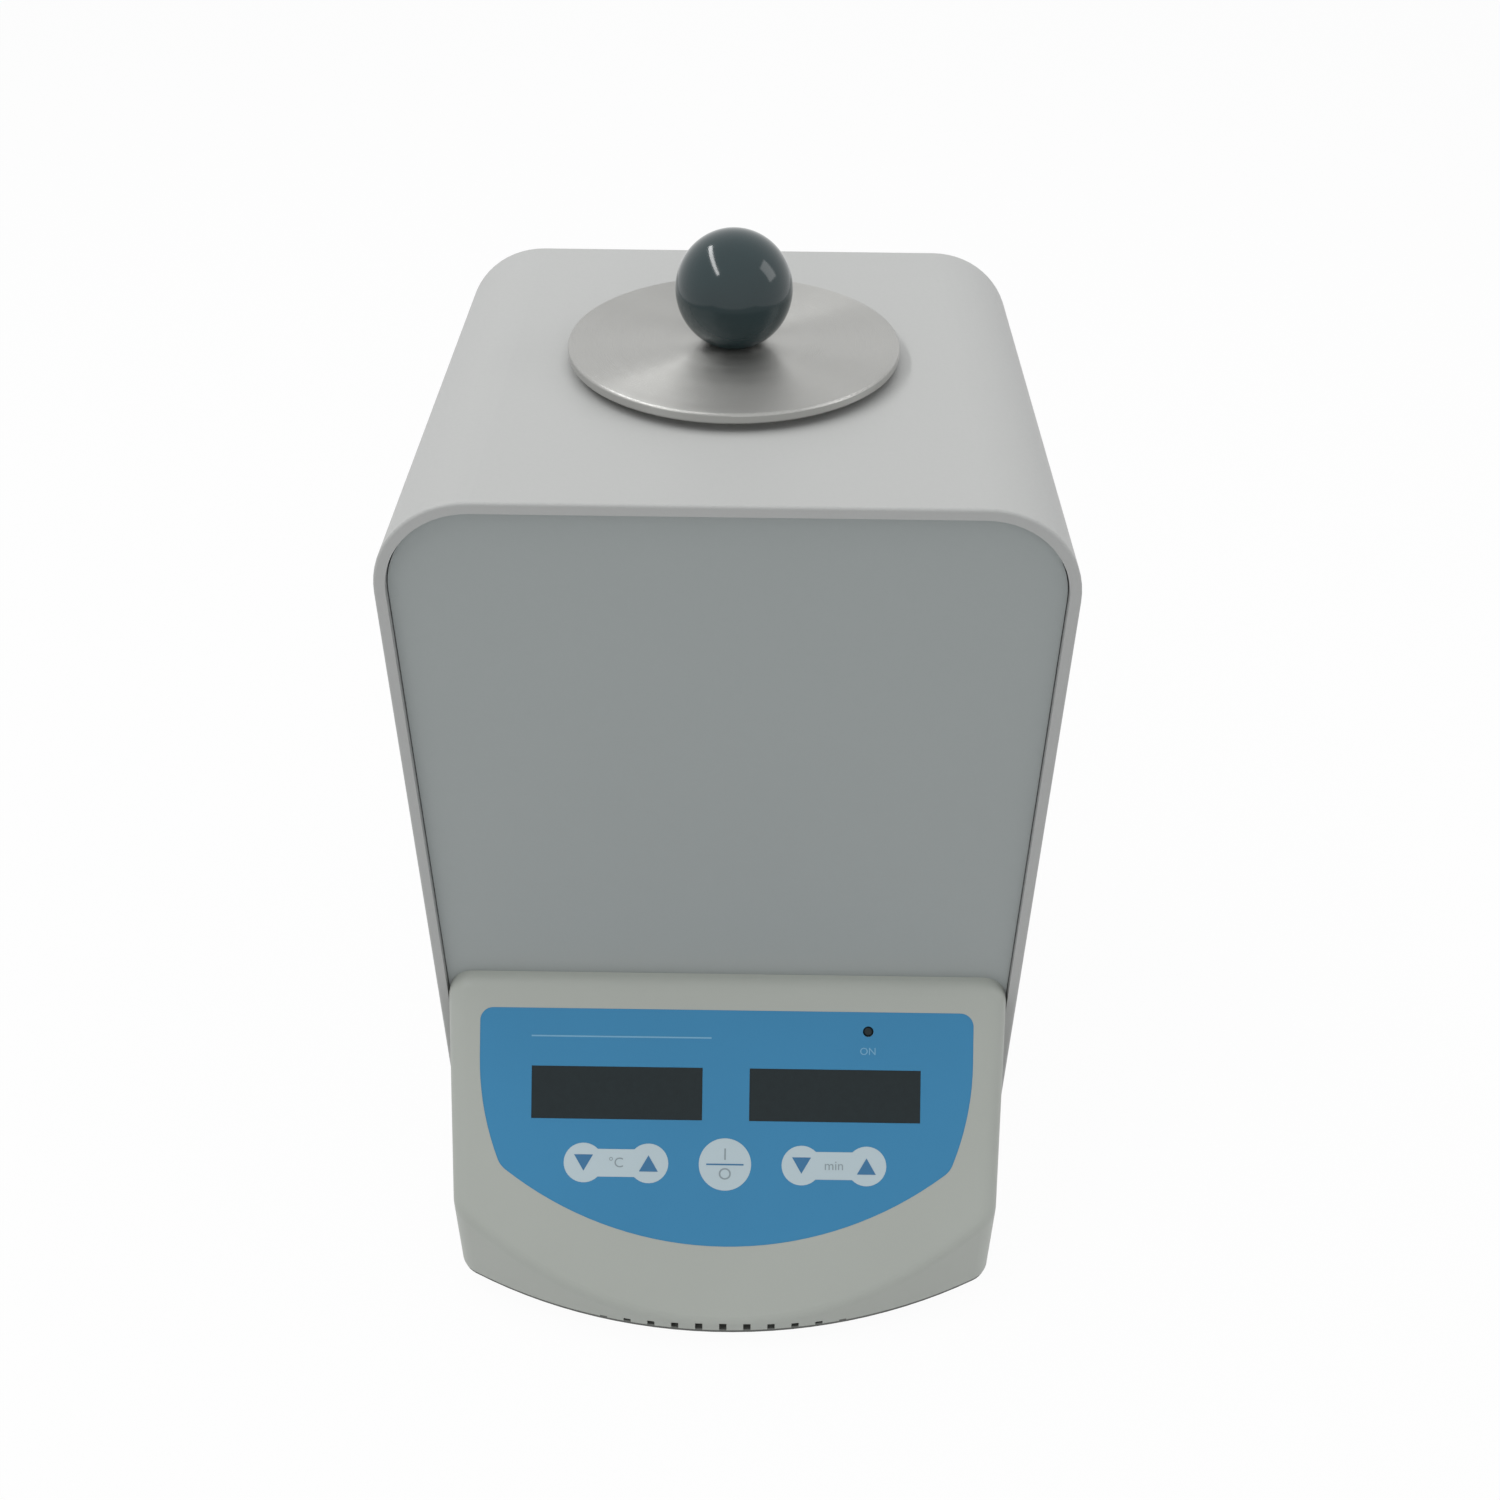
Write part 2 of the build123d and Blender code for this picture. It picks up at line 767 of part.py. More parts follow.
def well_collar():
    collar = upright(collar_radius, cover_top, collar_top, 0, well_y)
    collar = fillet(collar.edges().group_by(Axis.Z)[-1], lid_edge_round)
    collar += upright(collar_neck_radius, cover_top - collar_neck_length, collar_top - 1, 0, well_y)
    collar -= upright(well_outer + well_fit, 0, 2 * cover_top, 0, well_y)
    seat = collar_top - well_lip_thickness
    return collar - upright(well_lip_radius + well_fit, seat, collar_top + 1, 0, well_y)


def bead_well():
    cup = upright(well_outer, well_bottom, collar_top, 0, well_y)
    cup += upright(well_lip_radius, collar_top - well_lip_thickness, collar_top, 0, well_y)
    hollow = upright(well_radius, well_bottom + well_floor, collar_top + 1, 0, well_y)
    hollow = fillet(hollow.edges().group_by(Axis.Z)[0], well_floor_round)
    return cup - hollow - upright(probe_radius, well_bottom - 1, well_bottom + probe_pocket, 0, well_y)


def bead_fill():
    low = well_bottom + well_floor
    top = collar_top - bead_level
    fill = upright(well_radius - bead_fit, low, top, 0, well_y)
    fill = chamfer(fill.edges().group_by(Axis.Z)[0], well_floor_round)
    mound_radius = ((well_radius - bead_fit) ** 2 + bead_mound ** 2) / (2 * bead_mound)
    mound = Pos(0, well_y, top + bead_mound - mound_radius) * Sphere(mound_radius)
    cap = mound & upright(well_radius - bead_fit, top - 0.2, top + 2 * bead_mound, 0, well_y)
    return fill + cap


def lid_disc():
    disc = upright(lid_radius, collar_top, lid_top, 0, well_y)
    disc = fillet(disc.edges(), lid_edge_round)
    return disc - upright(knob_screw_radius + screw_clearance, collar_top - 1, lid_top + 1, 0, well_y)


def lid_locator():
    plug = upright(well_radius - locator_gap, collar_top - locator_height, collar_top, 0, well_y)
    plug = chamfer(plug.edges().group_by(Axis.Z)[0], locator_gap)
    low = collar_top - locator_height
    plug -= upright(knob_screw_radius + screw_clearance, low - 1, collar_top + 1, 0, well_y)
    head = knob_screw_head_radius + screw_clearance
    return plug - upright(head, low - 1, low + knob_screw_head_height, 0, well_y)


def lid_knob():
    ball = Pos(0, well_y, lid_top + knob_centre_height) * Sphere(knob_radius)
    ball -= upright(2 * knob_radius, lid_top - 2 * knob_radius, lid_top, 0, well_y)
    return ball - upright(knob_screw_radius, lid_top - 1, lid_top + knob_screw_depth + 1, 0, well_y)


def knob_screw():
    low = collar_top - locator_height
    head = upright(knob_screw_head_radius, low, low + knob_screw_head_height, 0, well_y)
    head -= Pos(0, well_y, low) * Box(knob_screw_head_radius * 2, 1.2, 2.0)
    seat = low + knob_screw_head_height
    return head + upright(knob_screw_radius, seat, lid_top + knob_screw_depth, 0, well_y)


def heater_z():
    top = collar_top - heater_drop
    return top - heater_height, top


def heater_band():
    low, high = heater_z()
    inner = well_outer + well_fit
    outer = inner + heater_thickness
    band = upright(outer, low, high, 0, well_y)
    ear_x = heater_split / 2 + heater_ear_thickness
    middle = (low + high) / 2
    ear_z = (middle - heater_ear_height / 2, middle + heater_ear_height / 2)
    band += block((-ear_x, ear_x), (well_y, well_y + outer + heater_ear_length), ear_z)
    band -= upright(inner, low - 1, high + 1, 0, well_y)
    half = heater_split / 2
    band -= block((-half, half), (well_y, well_y + 2 * outer), (low - 1, high + 1))
    return band - heater_screw_hole()


def heater_screw_place():
    low, high = heater_z()
    return well_y + well_outer + well_fit + heater_thickness + heater_ear_length / 2, (low + high) / 2


def heater_screw_hole():
    y, z = heater_screw_place()
    return along_x(screw_radius + screw_clearance, -heater_split * 2, heater_split * 2, y, z)


def heater_screw():
    y, z = heater_screw_place()
    seat = heater_split / 2 + heater_ear_thickness
    return Pos(seat, y, z) * Rot(0, 90, 0) * screw(2 * seat + 3)


def chimney(low, high):
    # clear way for the heater's ears and leads through the insulation
    half = chimney_width / 2
    return block((-half, half), (well_y, well_y + 2 * shield_radius), (low, high))


def insulation_sleeve():
    inner = well_outer + well_fit + heater_thickness + shield_gap
    high = cover_top - collar_neck_length
    sleeve = upright(shield_radius - shield_wall - shield_gap, well_bottom, high, 0, well_y)
    sleeve -= upright(inner, well_bottom - 1, high + 1, 0, well_y)
    return sleeve - chimney(well_bottom - 1, high + 1)


def insulation_base():
    low = shield_bottom + shield_wall
    pad = upright(shield_radius - shield_wall - shield_gap, low, well_bottom, 0, well_y)
    pad -= upright(probe_radius + screw_clearance, low - 1, well_bottom + 1, 0, well_y)
    half = lead_hole_radius
    reach = (lead_y() - half, well_y + 2 * shield_radius)
    return pad - block((-half, half), reach, (low - 1, well_bottom + 1))


def heat_shield():
    can = upright(shield_radius, shield_bottom, shield_top - shield_wall, 0, well_y)
    can -= upright(shield_radius - shield_wall, shield_bottom + shield_wall, shield_top + 1, 0, well_y)
    can -= upright(probe_radius + screw_clearance, shield_bottom - 1, shield_bottom + 2, 0, well_y)
    return can - upright(lead_hole_radius, shield_bottom - 1, shield_bottom + 2, 0, lead_y())


def shield_ring():
    ring = upright(shield_radius, shield_top - shield_wall, shield_top, 0, well_y)
    return ring - upright(collar_neck_radius + well_fit, shield_top - 2, shield_top + 1, 0, well_y)


def temperature_probe():
    high = well_bottom + probe_pocket - shield_gap
    rod = upright(probe_radius - plunger_fit, high - probe_length, high, 0, well_y)
    return rod + upright(probe_radius * 1.8, high - probe_length, high - probe_length + 6, 0, well_y)


def thermal_cutout():
    low = bracket_top - bracket_thickness - cutout_height
    can = upright(cutout_radius, low, low + cutout_height, -cutout_offset, well_y)
    for side in (-1, 1):
        y = well_y + side * cutout_radius / 2
        can += block((-cutout_offset - 0.4, -cutout_offset + 0.4), (y - 3, y + 3), (low - 8, low + 1))
    return can


def well_bracket():
    half = bracket_width / 2
    near, far = well_y - bracket_depth / 2, well_y + bracket_depth / 2
    top = (bracket_top - bracket_thickness, bracket_top)
    bracket = block((-half, half), (near, far), top)
    for side in (-1, 1):
        leg = sorted((side * half, side * (half - bracket_thickness)))
        bracket += block(leg, (near, far), (floor_top, bracket_top))
        foot = sorted((side * (half - bracket_thickness), side * (half + bracket_foot)))
        bracket += block(foot, (near, far), (floor_top, floor_top + bracket_thickness))
    bracket = fillet(
        [edge for edge in bracket.edges().filter_by(Axis.Y) if edge.center().Z > bracket_top - 0.1],
        bracket_thickness,
    )
    for x, y in bracket_foot_places():
        hole = screw_radius + screw_clearance
        bracket -= upright(hole, floor_top - 1, floor_top + 2 * bracket_thickness, x, y)
    bracket -= upright(bracket_hole_radius, top[0] - 1, top[1] + 1, 0, well_y)
    return bracket - upright(lead_hole_radius, top[0] - 1, top[1] + 1, 0, lead_y())


def bracket_screws():
    seat = floor_top + bracket_thickness
    return [Pos(x, y, seat) * screw(chassis_screw_length) for x, y in bracket_foot_places()]


def power_centre_y():
    return front_face_y + panel_thickness + power_front_gap + power_depth / 2


def power_top():
    return floor_top + standoff_height + board_thickness


def standoff_places():
    half_x = power_width / 2 - standoff_inset
    half_y = power_depth / 2 - standoff_inset
    return [(x, power_centre_y() + y) for x in (-half_x, half_x) for y in (-half_y, half_y)]


def power_board():
    half_x, half_y = power_width / 2, power_depth / 2
    near = power_centre_y() - half_y
    board = block((-half_x, half_x), (near, near + power_depth), (power_top() - board_thickness, power_top()))
    for x, y in standoff_places():
        board -= upright(screw_radius + screw_clearance, floor_top, power_top() + 1, x, y)
    return board


def standoffs():
    placed = []
    for x, y in standoff_places():
        post = upright(standoff_radius, floor_top, floor_top + standoff_height, x, y)
        placed.append(post - upright(screw_radius, floor_top - 1, power_top(), x, y))
    return placed


def power_board_screws():
    return [Pos(x, y, power_top()) * screw(board_screw_length) for x, y in standoff_places()]


def on_board(size, x, y):
    return Pos(x, y, power_top()) * Box(*size, align=(Align.CENTER, Align.CENTER, Align.MIN))


def transformer_x():
    return -power_width / 2 + transformer_inset + transformer_size[0] / 2


def relay_x():
    return transformer_x() + transformer_size[0] / 2 + relay_gap + relay_size[0] / 2


def transformer():
    x = transformer_x()
    y = power_centre_y() + transformer_shift
    core = on_board(transformer_size, x, y)
    width, depth, height = transformer_size
    coil = on_board((width * 0.62, depth + 2 * transformer_coil_reach, height * 0.72), x, y)
    return chamfer(core.edges().filter_by(Axis.Z), 1.5) + coil


def relay():
    box = on_board(relay_size, relay_x(), power_centre_y() + relay_shift)
    return chamfer(box.edges().group_by(Axis.Z)[-1], 0.8)


def terminal_y():
    return power_centre_y() + power_depth / 2 - terminal_rim - terminal_size[1] / 2


def terminal_hole(index):
    # middle of one wire hole: place across, and the depth it goes down to
    pitch = terminal_size[0] / terminal_count
    return (index - (terminal_count - 1) / 2) * pitch, power_top() + terminal_size[2] - terminal_hole_depth


def terminal_block():
    strip = on_board(terminal_size, 0, terminal_y())
    radius = 0.3 * terminal_size[0] / terminal_count
    for index in range(terminal_count):
        x, low = terminal_hole(index)
        strip -= upright(radius, low, low + 2 * terminal_hole_depth, x, terminal_y())
    return strip


def capacitor():
    x = relay_x() + relay_size[0] / 2 + capacitor_gap + capacitor_radius
    y = power_centre_y() + capacitor_shift
    can = upright(capacitor_radius, power_top(), power_top() + capacitor_height, x, y)
    return fillet(can.edges().group_by(Axis.Z)[-1], 1.0)


def sink_place():
    x = power_width / 2 - heat_sink_size[0] / 2 - heat_sink_inset
    return x, power_centre_y() + heat_sink_shift


def heat_sink():
    x, y = sink_place()
    body = on_board(heat_sink_size, x, y)
    pitch = heat_sink_size[1] / heat_sink_fins
    across = (x - heat_sink_size[0] / 2 + heat_sink_web, x + heat_sink_size[0])
    high = power_top() + heat_sink_size[2] + 1
    for index in range(heat_sink_fins - 1):
        gap_y = y + (index - (heat_sink_fins - 2) / 2) * pitch
        body -= block(across, (gap_y - pitch / 3, gap_y + pitch / 3), (power_top() - 1, high))
    return body


def triac():
    x, y = sink_place()
    face = x - heat_sink_size[0] / 2
    low = power_top() + triac_rise
    half = triac_size[1] / 2
    body = block((face - triac_size[0], face), (y - half, y + half), (low, low + triac_size[2]))
    for index in (-1, 0, 1):
        leg = Pos(face - triac_size[0] / 2, y + index * triac_leg_pitch, power_top())
        body += leg * Box(triac_leg, triac_leg, triac_rise + 1, align=(Align.CENTER, Align.CENTER, Align.MIN))
    return body


def ribbon_ends():
    # where the cable leaves the header on each board, as (y, z)
    depth = board_depth + board_thickness + header_height
    control = face_plane.from_local_coords((0, -header_drop(), -depth))
    power_y = power_centre_y() - power_depth / 2 + header_depth / 2 + header_inset
    return (control.Y, control.Z), (power_y, power_top() + header_height)


def header_drop():
    return board_top + board_height - header_depth / 2 - header_inset


def ribbon_headers():
    width = ribbon_width + 2 * header_side
    control = Box(width, header_depth, header_height, align=(Align.CENTER, Align.CENTER, Align.MAX))
    power = Box(width, header_depth, header_height, align=(Align.CENTER, Align.CENTER, Align.MIN))
    _, end = ribbon_ends()
    placed = on_face(control, 0, header_drop(), board_depth + board_thickness)
    return [placed, Pos(0, end[0], power_top()) * power]


def ribbon_cable():
    start, end = ribbon_ends()
    inwards = -face_plane.z_dir
    points = [
        start,
        (start[0] + ribbon_leave * inwards.Y, start[1] + ribbon_leave * inwards.Z),
        (front_face_y, ribbon_slot_z()),
        (end[0], ribbon_slot_z()),
        end,
    ]
    path = FilletPolyline(*points, radius=ribbon_bend)
    plane = Plane(origin=(-ribbon_width / 2, 0, 0), x_dir=(0, 1, 0), z_dir=(1, 0, 0))
    return extrude(plane * trace(path, ribbon_thickness), ribbon_width)


def fitting_z():
    return floor_top + fitting_height


def inlet_module():
    z = fitting_z()
    outer_y = rear_face_y + inlet_flange_thickness
    half_w, half_h = inlet_width / 2, inlet_height / 2
    body = block(
        (inlet_offset - half_w, inlet_offset + half_w),
        (rear_face_y - inlet_depth, outer_y),
        (z - half_h, z + half_h),
    )
    plane = Plane(origin=(inlet_offset, rear_face_y, z), x_dir=(1, 0, 0), z_dir=(0, 1, 0))
    flange = fillet(Rectangle(inlet_flange_width, inlet_flange_height).vertices(), 5)
    body += extrude(plane * flange, inlet_flange_thickness)
    mouth = Rectangle(inlet_width - 2 * inlet_wall, inlet_height - 2 * inlet_wall)
    mouth = chamfer(mouth.vertices().group_by(Axis.Y)[0], 3.5)
    cavity = Plane(origin=(inlet_offset, outer_y, z), x_dir=(1, 0, 0), z_dir=(0, 1, 0)) * mouth
    body -= extrude(cavity, -inlet_cavity_depth)
    for side in (-1, 1):
        x = inlet_offset + side * inlet_screw_spacing / 2
        body -= along_y(screw_radius + screw_clearance, rear_face_y - 1, outer_y + 1, x, z)
    floor_y = outer_y - inlet_cavity_depth
    rear_y = rear_face_y - inlet_depth
    for x, drop in ((-pin_spacing / 2, 0), (pin_spacing / 2, 0), (0, earth_drop)):
        across = (inlet_offset + x - pin_thickness / 2, inlet_offset + x + pin_thickness / 2)
        upwards = (z - drop - pin_height / 2, z - drop + pin_height / 2)
        body += block(across, (floor_y - 1, floor_y + pin_length), upwards)
        body += block(across, (rear_y - tail_length, rear_y + 1), upwards)
    return body


def inlet_screws():
    seat = rear_face_y + inlet_flange_thickness
    length = inlet_flange_thickness + panel_thickness + 4
    xs = (inlet_offset - inlet_screw_spacing / 2, inlet_offset + inlet_screw_spacing / 2)
    return [Pos(x, seat, fitting_z()) * Rot(-90, 0, 0) * screw(length) for x in xs]


def inlet_nuts():
    seat = rear_face_y - panel_thickness
    xs = (inlet_offset - inlet_screw_spacing / 2, inlet_offset + inlet_screw_spacing / 2)
    nuts = []
    for x in xs:
        plane = Plane(origin=(x, seat, fitting_z()), x_dir=(1, 0, 0), z_dir=(0, -1, 0))
        outline = RegularPolygon(screw_head_radius, 6) - Circle(screw_radius)
        nuts.append(extrude(plane * outline, nut_height))
    return nuts


def frame_half_width():
    return rocker_width / 2 + rocker_side_gap + frame_wall


def rocker_reach():
    return math.hypot(rocker_half_height, rocker_end)


def frame_half_height():
    return rocker_reach() + rocker_side_gap + frame_wall


def switch_frame():
    z = fitting_z()
    half_w, half_h = frame_half_width(), frame_half_height()
    frame = block(
        (switch_offset - half_w, switch_offset + half_w),
        (rear_face_y - frame_depth, rear_face_y + frame_flange),
        (z - half_h, z + half_h),
    )
    frame += block(
        (switch_offset - half_w - frame_lip, switch_offset + half_w + frame_lip),
        (rear_face_y, rear_face_y + frame_flange),
        (z - half_h - frame_lip, z + half_h + frame_lip),
    )
    inner_w, inner_h = half_w - frame_wall, half_h - frame_wall
    frame -= block(
        (switch_offset - inner_w, switch_offset + inner_w),
        (rear_face_y - rocker_reach() - rocker_side_gap, rear_face_y + frame_flange + 1),
        (z - inner_h, z + inner_h),
    )
    hole = rocker_pin_radius + rocker_pin_fit
    frame -= along_x(hole, switch_offset - half_w + 0.2, switch_offset + half_w - 0.2, rear_face_y, z)
    tail = Box(switch_tail_width, tail_length, switch_tail_thickness)
    for side in (-1, 0, 1):
        tail_y = rear_face_y - frame_depth - tail_length / 2
        frame += Pos(switch_offset, tail_y, z + side * switch_tail_pitch) * tail
    return frame


def rocker():
    # modelled level about its pin, then tilted to OFF
    plane = Plane(origin=(-rocker_width / 2, 0, 0), x_dir=(0, 1, 0), z_dir=(1, 0, 0))
    outline = Polyline(
        (rocker_end, rocker_half_height),
        (rocker_valley, 0),
        (rocker_end, -rocker_half_height),
        (-rocker_root, -rocker_half_height * 0.8),
        (-rocker_root, rocker_half_height * 0.8),
        (rocker_end, rocker_half_height),
    )
    body = extrude(plane * make_face(outline), rocker_width)
    reach = rocker_width / 2 + rocker_pin_length
    body += along_x(rocker_pin_radius, -reach, reach, 0, 0)
    return Pos(switch_offset, rear_face_y, fitting_z()) * Rot(-rocker_tilt, 0, 0) * body


def fuse_holder():
    z = fitting_z()
    outer_y = rear_face_y + fuse_flange_thickness
    body = along_y(fuse_radius, rear_face_y - fuse_depth, outer_y, fuse_offset, z)
    body += along_y(fuse_flange_radius, rear_face_y, outer_y, fuse_offset, z)
    low = rear_face_y - fuse_depth + 2 * fuse_wall
    return body - along_y(fuse_radius - fuse_wall, low, outer_y + 1, fuse_offset, z)


def fuse_cap():
    z = fitting_z()
    seat = rear_face_y + fuse_flange_thickness
    cap = along_y(fuse_cap_radius, seat, seat + fuse_cap_height, fuse_offset, z)
    cap = fillet(cap.edges().group_by(Axis.Y)[-1], 0.8)
    notch = Box(fuse_cap_radius * 1.2, 2.0, 1.2)
    cap -= Pos(fuse_offset, seat + fuse_cap_height, z) * notch
    stem = fuse_radius - fuse_wall - panel_gap
    return cap + along_y(stem, rear_face_y - fuse_depth + 4 * fuse_wall, seat + 1, fuse_offset, z)


def lead_y():
    # where the heater's leads go down behind the well
    return well_y + shield_radius - lead_well_reach


def lead(points):
    path = FilletPolyline(*points, radius=lead_bend)
    start = Plane(origin=points[0], z_dir=Vector(*points[1]) - Vector(*points[0]))
    return sweep(start * Circle(lead_radius), path=path)


def inlet_lead_points():
    # the neutral, live and earth leads, each from a tail of the inlet
    z = fitting_z()
    tail_y = rear_face_y - inlet_depth - tail_length
    run_y = tail_y - lead_leave
    fuse_y = rear_face_y - fuse_depth
    neutral_x = inlet_offset + pin_spacing / 2
    live_x = inlet_offset - pin_spacing / 2
    hole_x, hole_z = terminal_hole(terminal_count - 1)
    earth_z = z - earth_drop
    stud_z = floor_top + earth_stud_height
    end_y = terminal_y()
    return (
        [(neutral_x, tail_y, z), (neutral_x, run_y, z), (hole_x, end_y, z), (hole_x, end_y, hole_z)],
        [(live_x, tail_y, z), (live_x, run_y, z), (fuse_offset, run_y, z), (fuse_offset, fuse_y, z)],
        [
            (inlet_offset, tail_y, earth_z),
            (inlet_offset, run_y, earth_z),
            (inlet_offset, run_y, stud_z + lead_leave),
            (earth_x(), run_y, stud_z + lead_leave),
            (earth_x(), earth_y(), stud_z + lead_leave),
            (earth_x(), earth_y(), stud_z),
        ],
    )


def switch_lead_points():
    # from the fuse to the switch, and from the switch to the terminals
    z = fitting_z()
    fuse_y = rear_face_y - fuse_depth
    tail_y = rear_face_y - frame_depth - tail_length
    upper = z + switch_tail_pitch
    lower = z - switch_tail_pitch
    hole_x, hole_z = terminal_hole(0)
    return (
        [
            (fuse_offset, fuse_y, z + lead_pitch),
            (fuse_offset, fuse_y - lead_leave, z + lead_pitch),
            (switch_offset, fuse_y - lead_leave, upper),
            (switch_offset, tail_y, upper),
        ],
        [
            (switch_offset, tail_y, lower),
            (switch_offset, tail_y - lead_leave, lower),
            (hole_x, terminal_y(), lower),
            (hole_x, terminal_y(), hole_z),
        ],
    )


def heater_lead_points():
    # from the heater's two ears, down through the shield and the bracket, to the terminals
    _, ears_z = heater_screw_place()
    points = []
    for side, index in ((-1, 1), (1, terminal_count - 2)):
        ear_x = side * (heater_split + heater_ear_thickness) / 2
        hole_x, hole_z = terminal_hole(index)
        high = fitting_z()
        points.append([
            (ear_x, lead_y(), ears_z - heater_ear_height / 2),
            (ear_x, lead_y(), high),
            (hole_x, terminal_y(), high),
            (hole_x, terminal_y(), hole_z),
        ])
    return points


def wiring():
    return [lead(points) for points in (*heater_lead_points(), *inlet_lead_points(), *switch_lead_points())]


def console_screws():
    seat = front_face_y + panel_thickness
    return [Pos(x, seat, z) * Rot(-90, 0, 0) * screw(console_screw_length) for x, z in console_screw_places()]


save("outer_cover", outer_cover())
save("cover_screws", *cover_screws())
save("front_panel", front_panel())
save("rear_panel", rear_panel())
save("chassis_screws", *panel_screws(front_face_y, -1), *panel_screws(rear_face_y, 1), *bracket_screws())
save("base_plate", base_plate())
save("rubber_feet", *[rubber_foot(*place) for place in foot_places()])
save("foot_screws", *foot_screws())
save("control_housing", control_housing())
save("console_screws", *console_screws())
save("membrane_overlay", membrane_overlay())
save("display_window_left", display_window(window_places()[0]))
save("display_window_right", display_window(window_places()[1]))
save("display_module_left", display_module(window_places()[0]))
save("display_module_right", display_module(window_places()[1]))
save("running_lamp", running_lamp())
save("control_board", control_board())
save("board_screws", *control_board_screws(), *power_board_screws())
save("tact_switches", *tact_switches())
for name, place in key_places.items():
    save("key_" + name, key_plunger(place))
save("controller_chip", controller_chip())
save("buzzer", buzzer())
save("well_collar", well_collar())
save("bead_well", bead_well())
save("bead_fill", bead_fill())
save("lid_disc", lid_disc())
save("lid_locator", lid_locator())
save("lid_knob", lid_knob())
save("knob_screw", knob_screw())
save("heater_band", heater_band())
save("heater_screw", heater_screw())
save("insulation_sleeve", insulation_sleeve())
save("insulation_base", insulation_base())
save("heat_shield", heat_shield())
save("shield_ring", shield_ring())
save("temperature_probe", temperature_probe())
save("thermal_cutout", thermal_cutout())
save("well_bracket", well_bracket())
save("power_board", power_board())
save("standoffs", *standoffs())
save("transformer", transformer())
save("relay", relay())
save("terminal_block", terminal_block())
save("capacitor", capacitor())
save("heat_sink", heat_sink())
save("triac", triac())
save("ribbon_headers", *ribbon_headers())
save("ribbon_cable", ribbon_cable())
save("earth_stud", earth_stud())
save("inlet_module", inlet_module())
save("inlet_fasteners", *inlet_screws(), *inlet_nuts())
save("switch_frame", switch_frame())
save("rocker", rocker())
save("fuse_holder", fuse_holder())
save("fuse_cap", fuse_cap())
save("wiring", *wiring())
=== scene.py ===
import json
import math
import random

import bmesh
import bpy
from mathutils import Matrix, Vector


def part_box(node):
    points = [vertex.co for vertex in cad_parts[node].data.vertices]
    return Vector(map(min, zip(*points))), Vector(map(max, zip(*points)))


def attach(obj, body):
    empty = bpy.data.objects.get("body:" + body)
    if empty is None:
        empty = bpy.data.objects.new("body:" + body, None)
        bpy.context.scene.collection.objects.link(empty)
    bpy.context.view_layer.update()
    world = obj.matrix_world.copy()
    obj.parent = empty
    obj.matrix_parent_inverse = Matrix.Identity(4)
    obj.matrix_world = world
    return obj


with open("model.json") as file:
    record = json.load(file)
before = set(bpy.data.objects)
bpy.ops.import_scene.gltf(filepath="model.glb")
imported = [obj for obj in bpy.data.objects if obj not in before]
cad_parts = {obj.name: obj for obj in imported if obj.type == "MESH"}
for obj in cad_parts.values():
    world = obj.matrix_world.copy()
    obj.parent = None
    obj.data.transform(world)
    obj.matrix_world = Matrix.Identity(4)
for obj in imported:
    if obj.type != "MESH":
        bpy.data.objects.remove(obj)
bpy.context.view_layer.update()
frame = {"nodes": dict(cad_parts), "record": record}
nodes = frame["nodes"]
print("frame loaded:", len(nodes), "nodes")

mm = 0.001

# the sloped console face: its top edge, how far it runs out and how far it falls
face = {"topY": -52.0 * mm, "topZ": 91.2 * mm, "run": 63.0 * mm, "rise": 80.6 * mm}
# the upright axis of the well and lid, read from the lid itself
lidLow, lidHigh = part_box("lid_disc")
lidCentre = (lidLow + lidHigh) / 2


def plug(tree, value, socket):
    # a link from a node, or else a plain number, colour or vector
    if isinstance(value, Val):
        tree.links.new(value.socket, socket)
    else:
        socket.default_value = value


class Val:
    # a node's output as a value in plain maths
    def __init__(self, tree, socket):
        self.tree = tree
        self.socket = socket

    def math(self, operation, other, swap=False):
        node = self.tree.nodes.new("ShaderNodeMath")
        node.operation = operation
        pair = (other, self) if swap else (self, other)
        for value, socket in zip(pair, node.inputs):
            plug(self.tree, value, socket)
        return Val(self.tree, node.outputs[0])

    def __add__(self, other): return self.math("ADD", other)
    def __radd__(self, other): return self.math("ADD", other, True)
    def __sub__(self, other): return self.math("SUBTRACT", other)
    def __rsub__(self, other): return self.math("SUBTRACT", other, True)
    def __mul__(self, other): return self.math("MULTIPLY", other)
    def __rmul__(self, other): return self.math("MULTIPLY", other, True)


class Graph:
    # a node tree and the one method that adds nodes to it
    def __init__(self, tree):
        self.tree = tree

    def node(self, kind, settings=None, stops=None, sockets=None, **inputs):
        made = self.tree.nodes.new("ShaderNode" + kind)
        for key, value in (settings or {}).items():
            setattr(made, key, value)
        if stops:
            ramp = made.color_ramp
            while len(ramp.elements) < len(stops):
                ramp.elements.new(0.5)
            for element, (place, colour) in zip(ramp.elements, stops):
                element.position = place
                element.color = (*colour, 1.0)
        for index, value in (sockets or {}).items():  # by number, where names repeat
            plug(self.tree, value, made.inputs[index])
        for key, value in inputs.items():
            plug(self.tree, value, made.inputs[key.replace("_", " ")])
        return made

    def out(self, made, name):
        return Val(self.tree, made.outputs[name])

    def directRays(self):
        # 1 for rays from the camera, off gloss or through glass, 0 for the light that falls on things
        path = self.node("LightPath")
        rays = self.out(path, "Is Camera Ray")
        for kind in ("Is Glossy Ray", "Is Transmission Ray"):
            rays = rays.math("MAXIMUM", self.out(path, kind))
        return rays


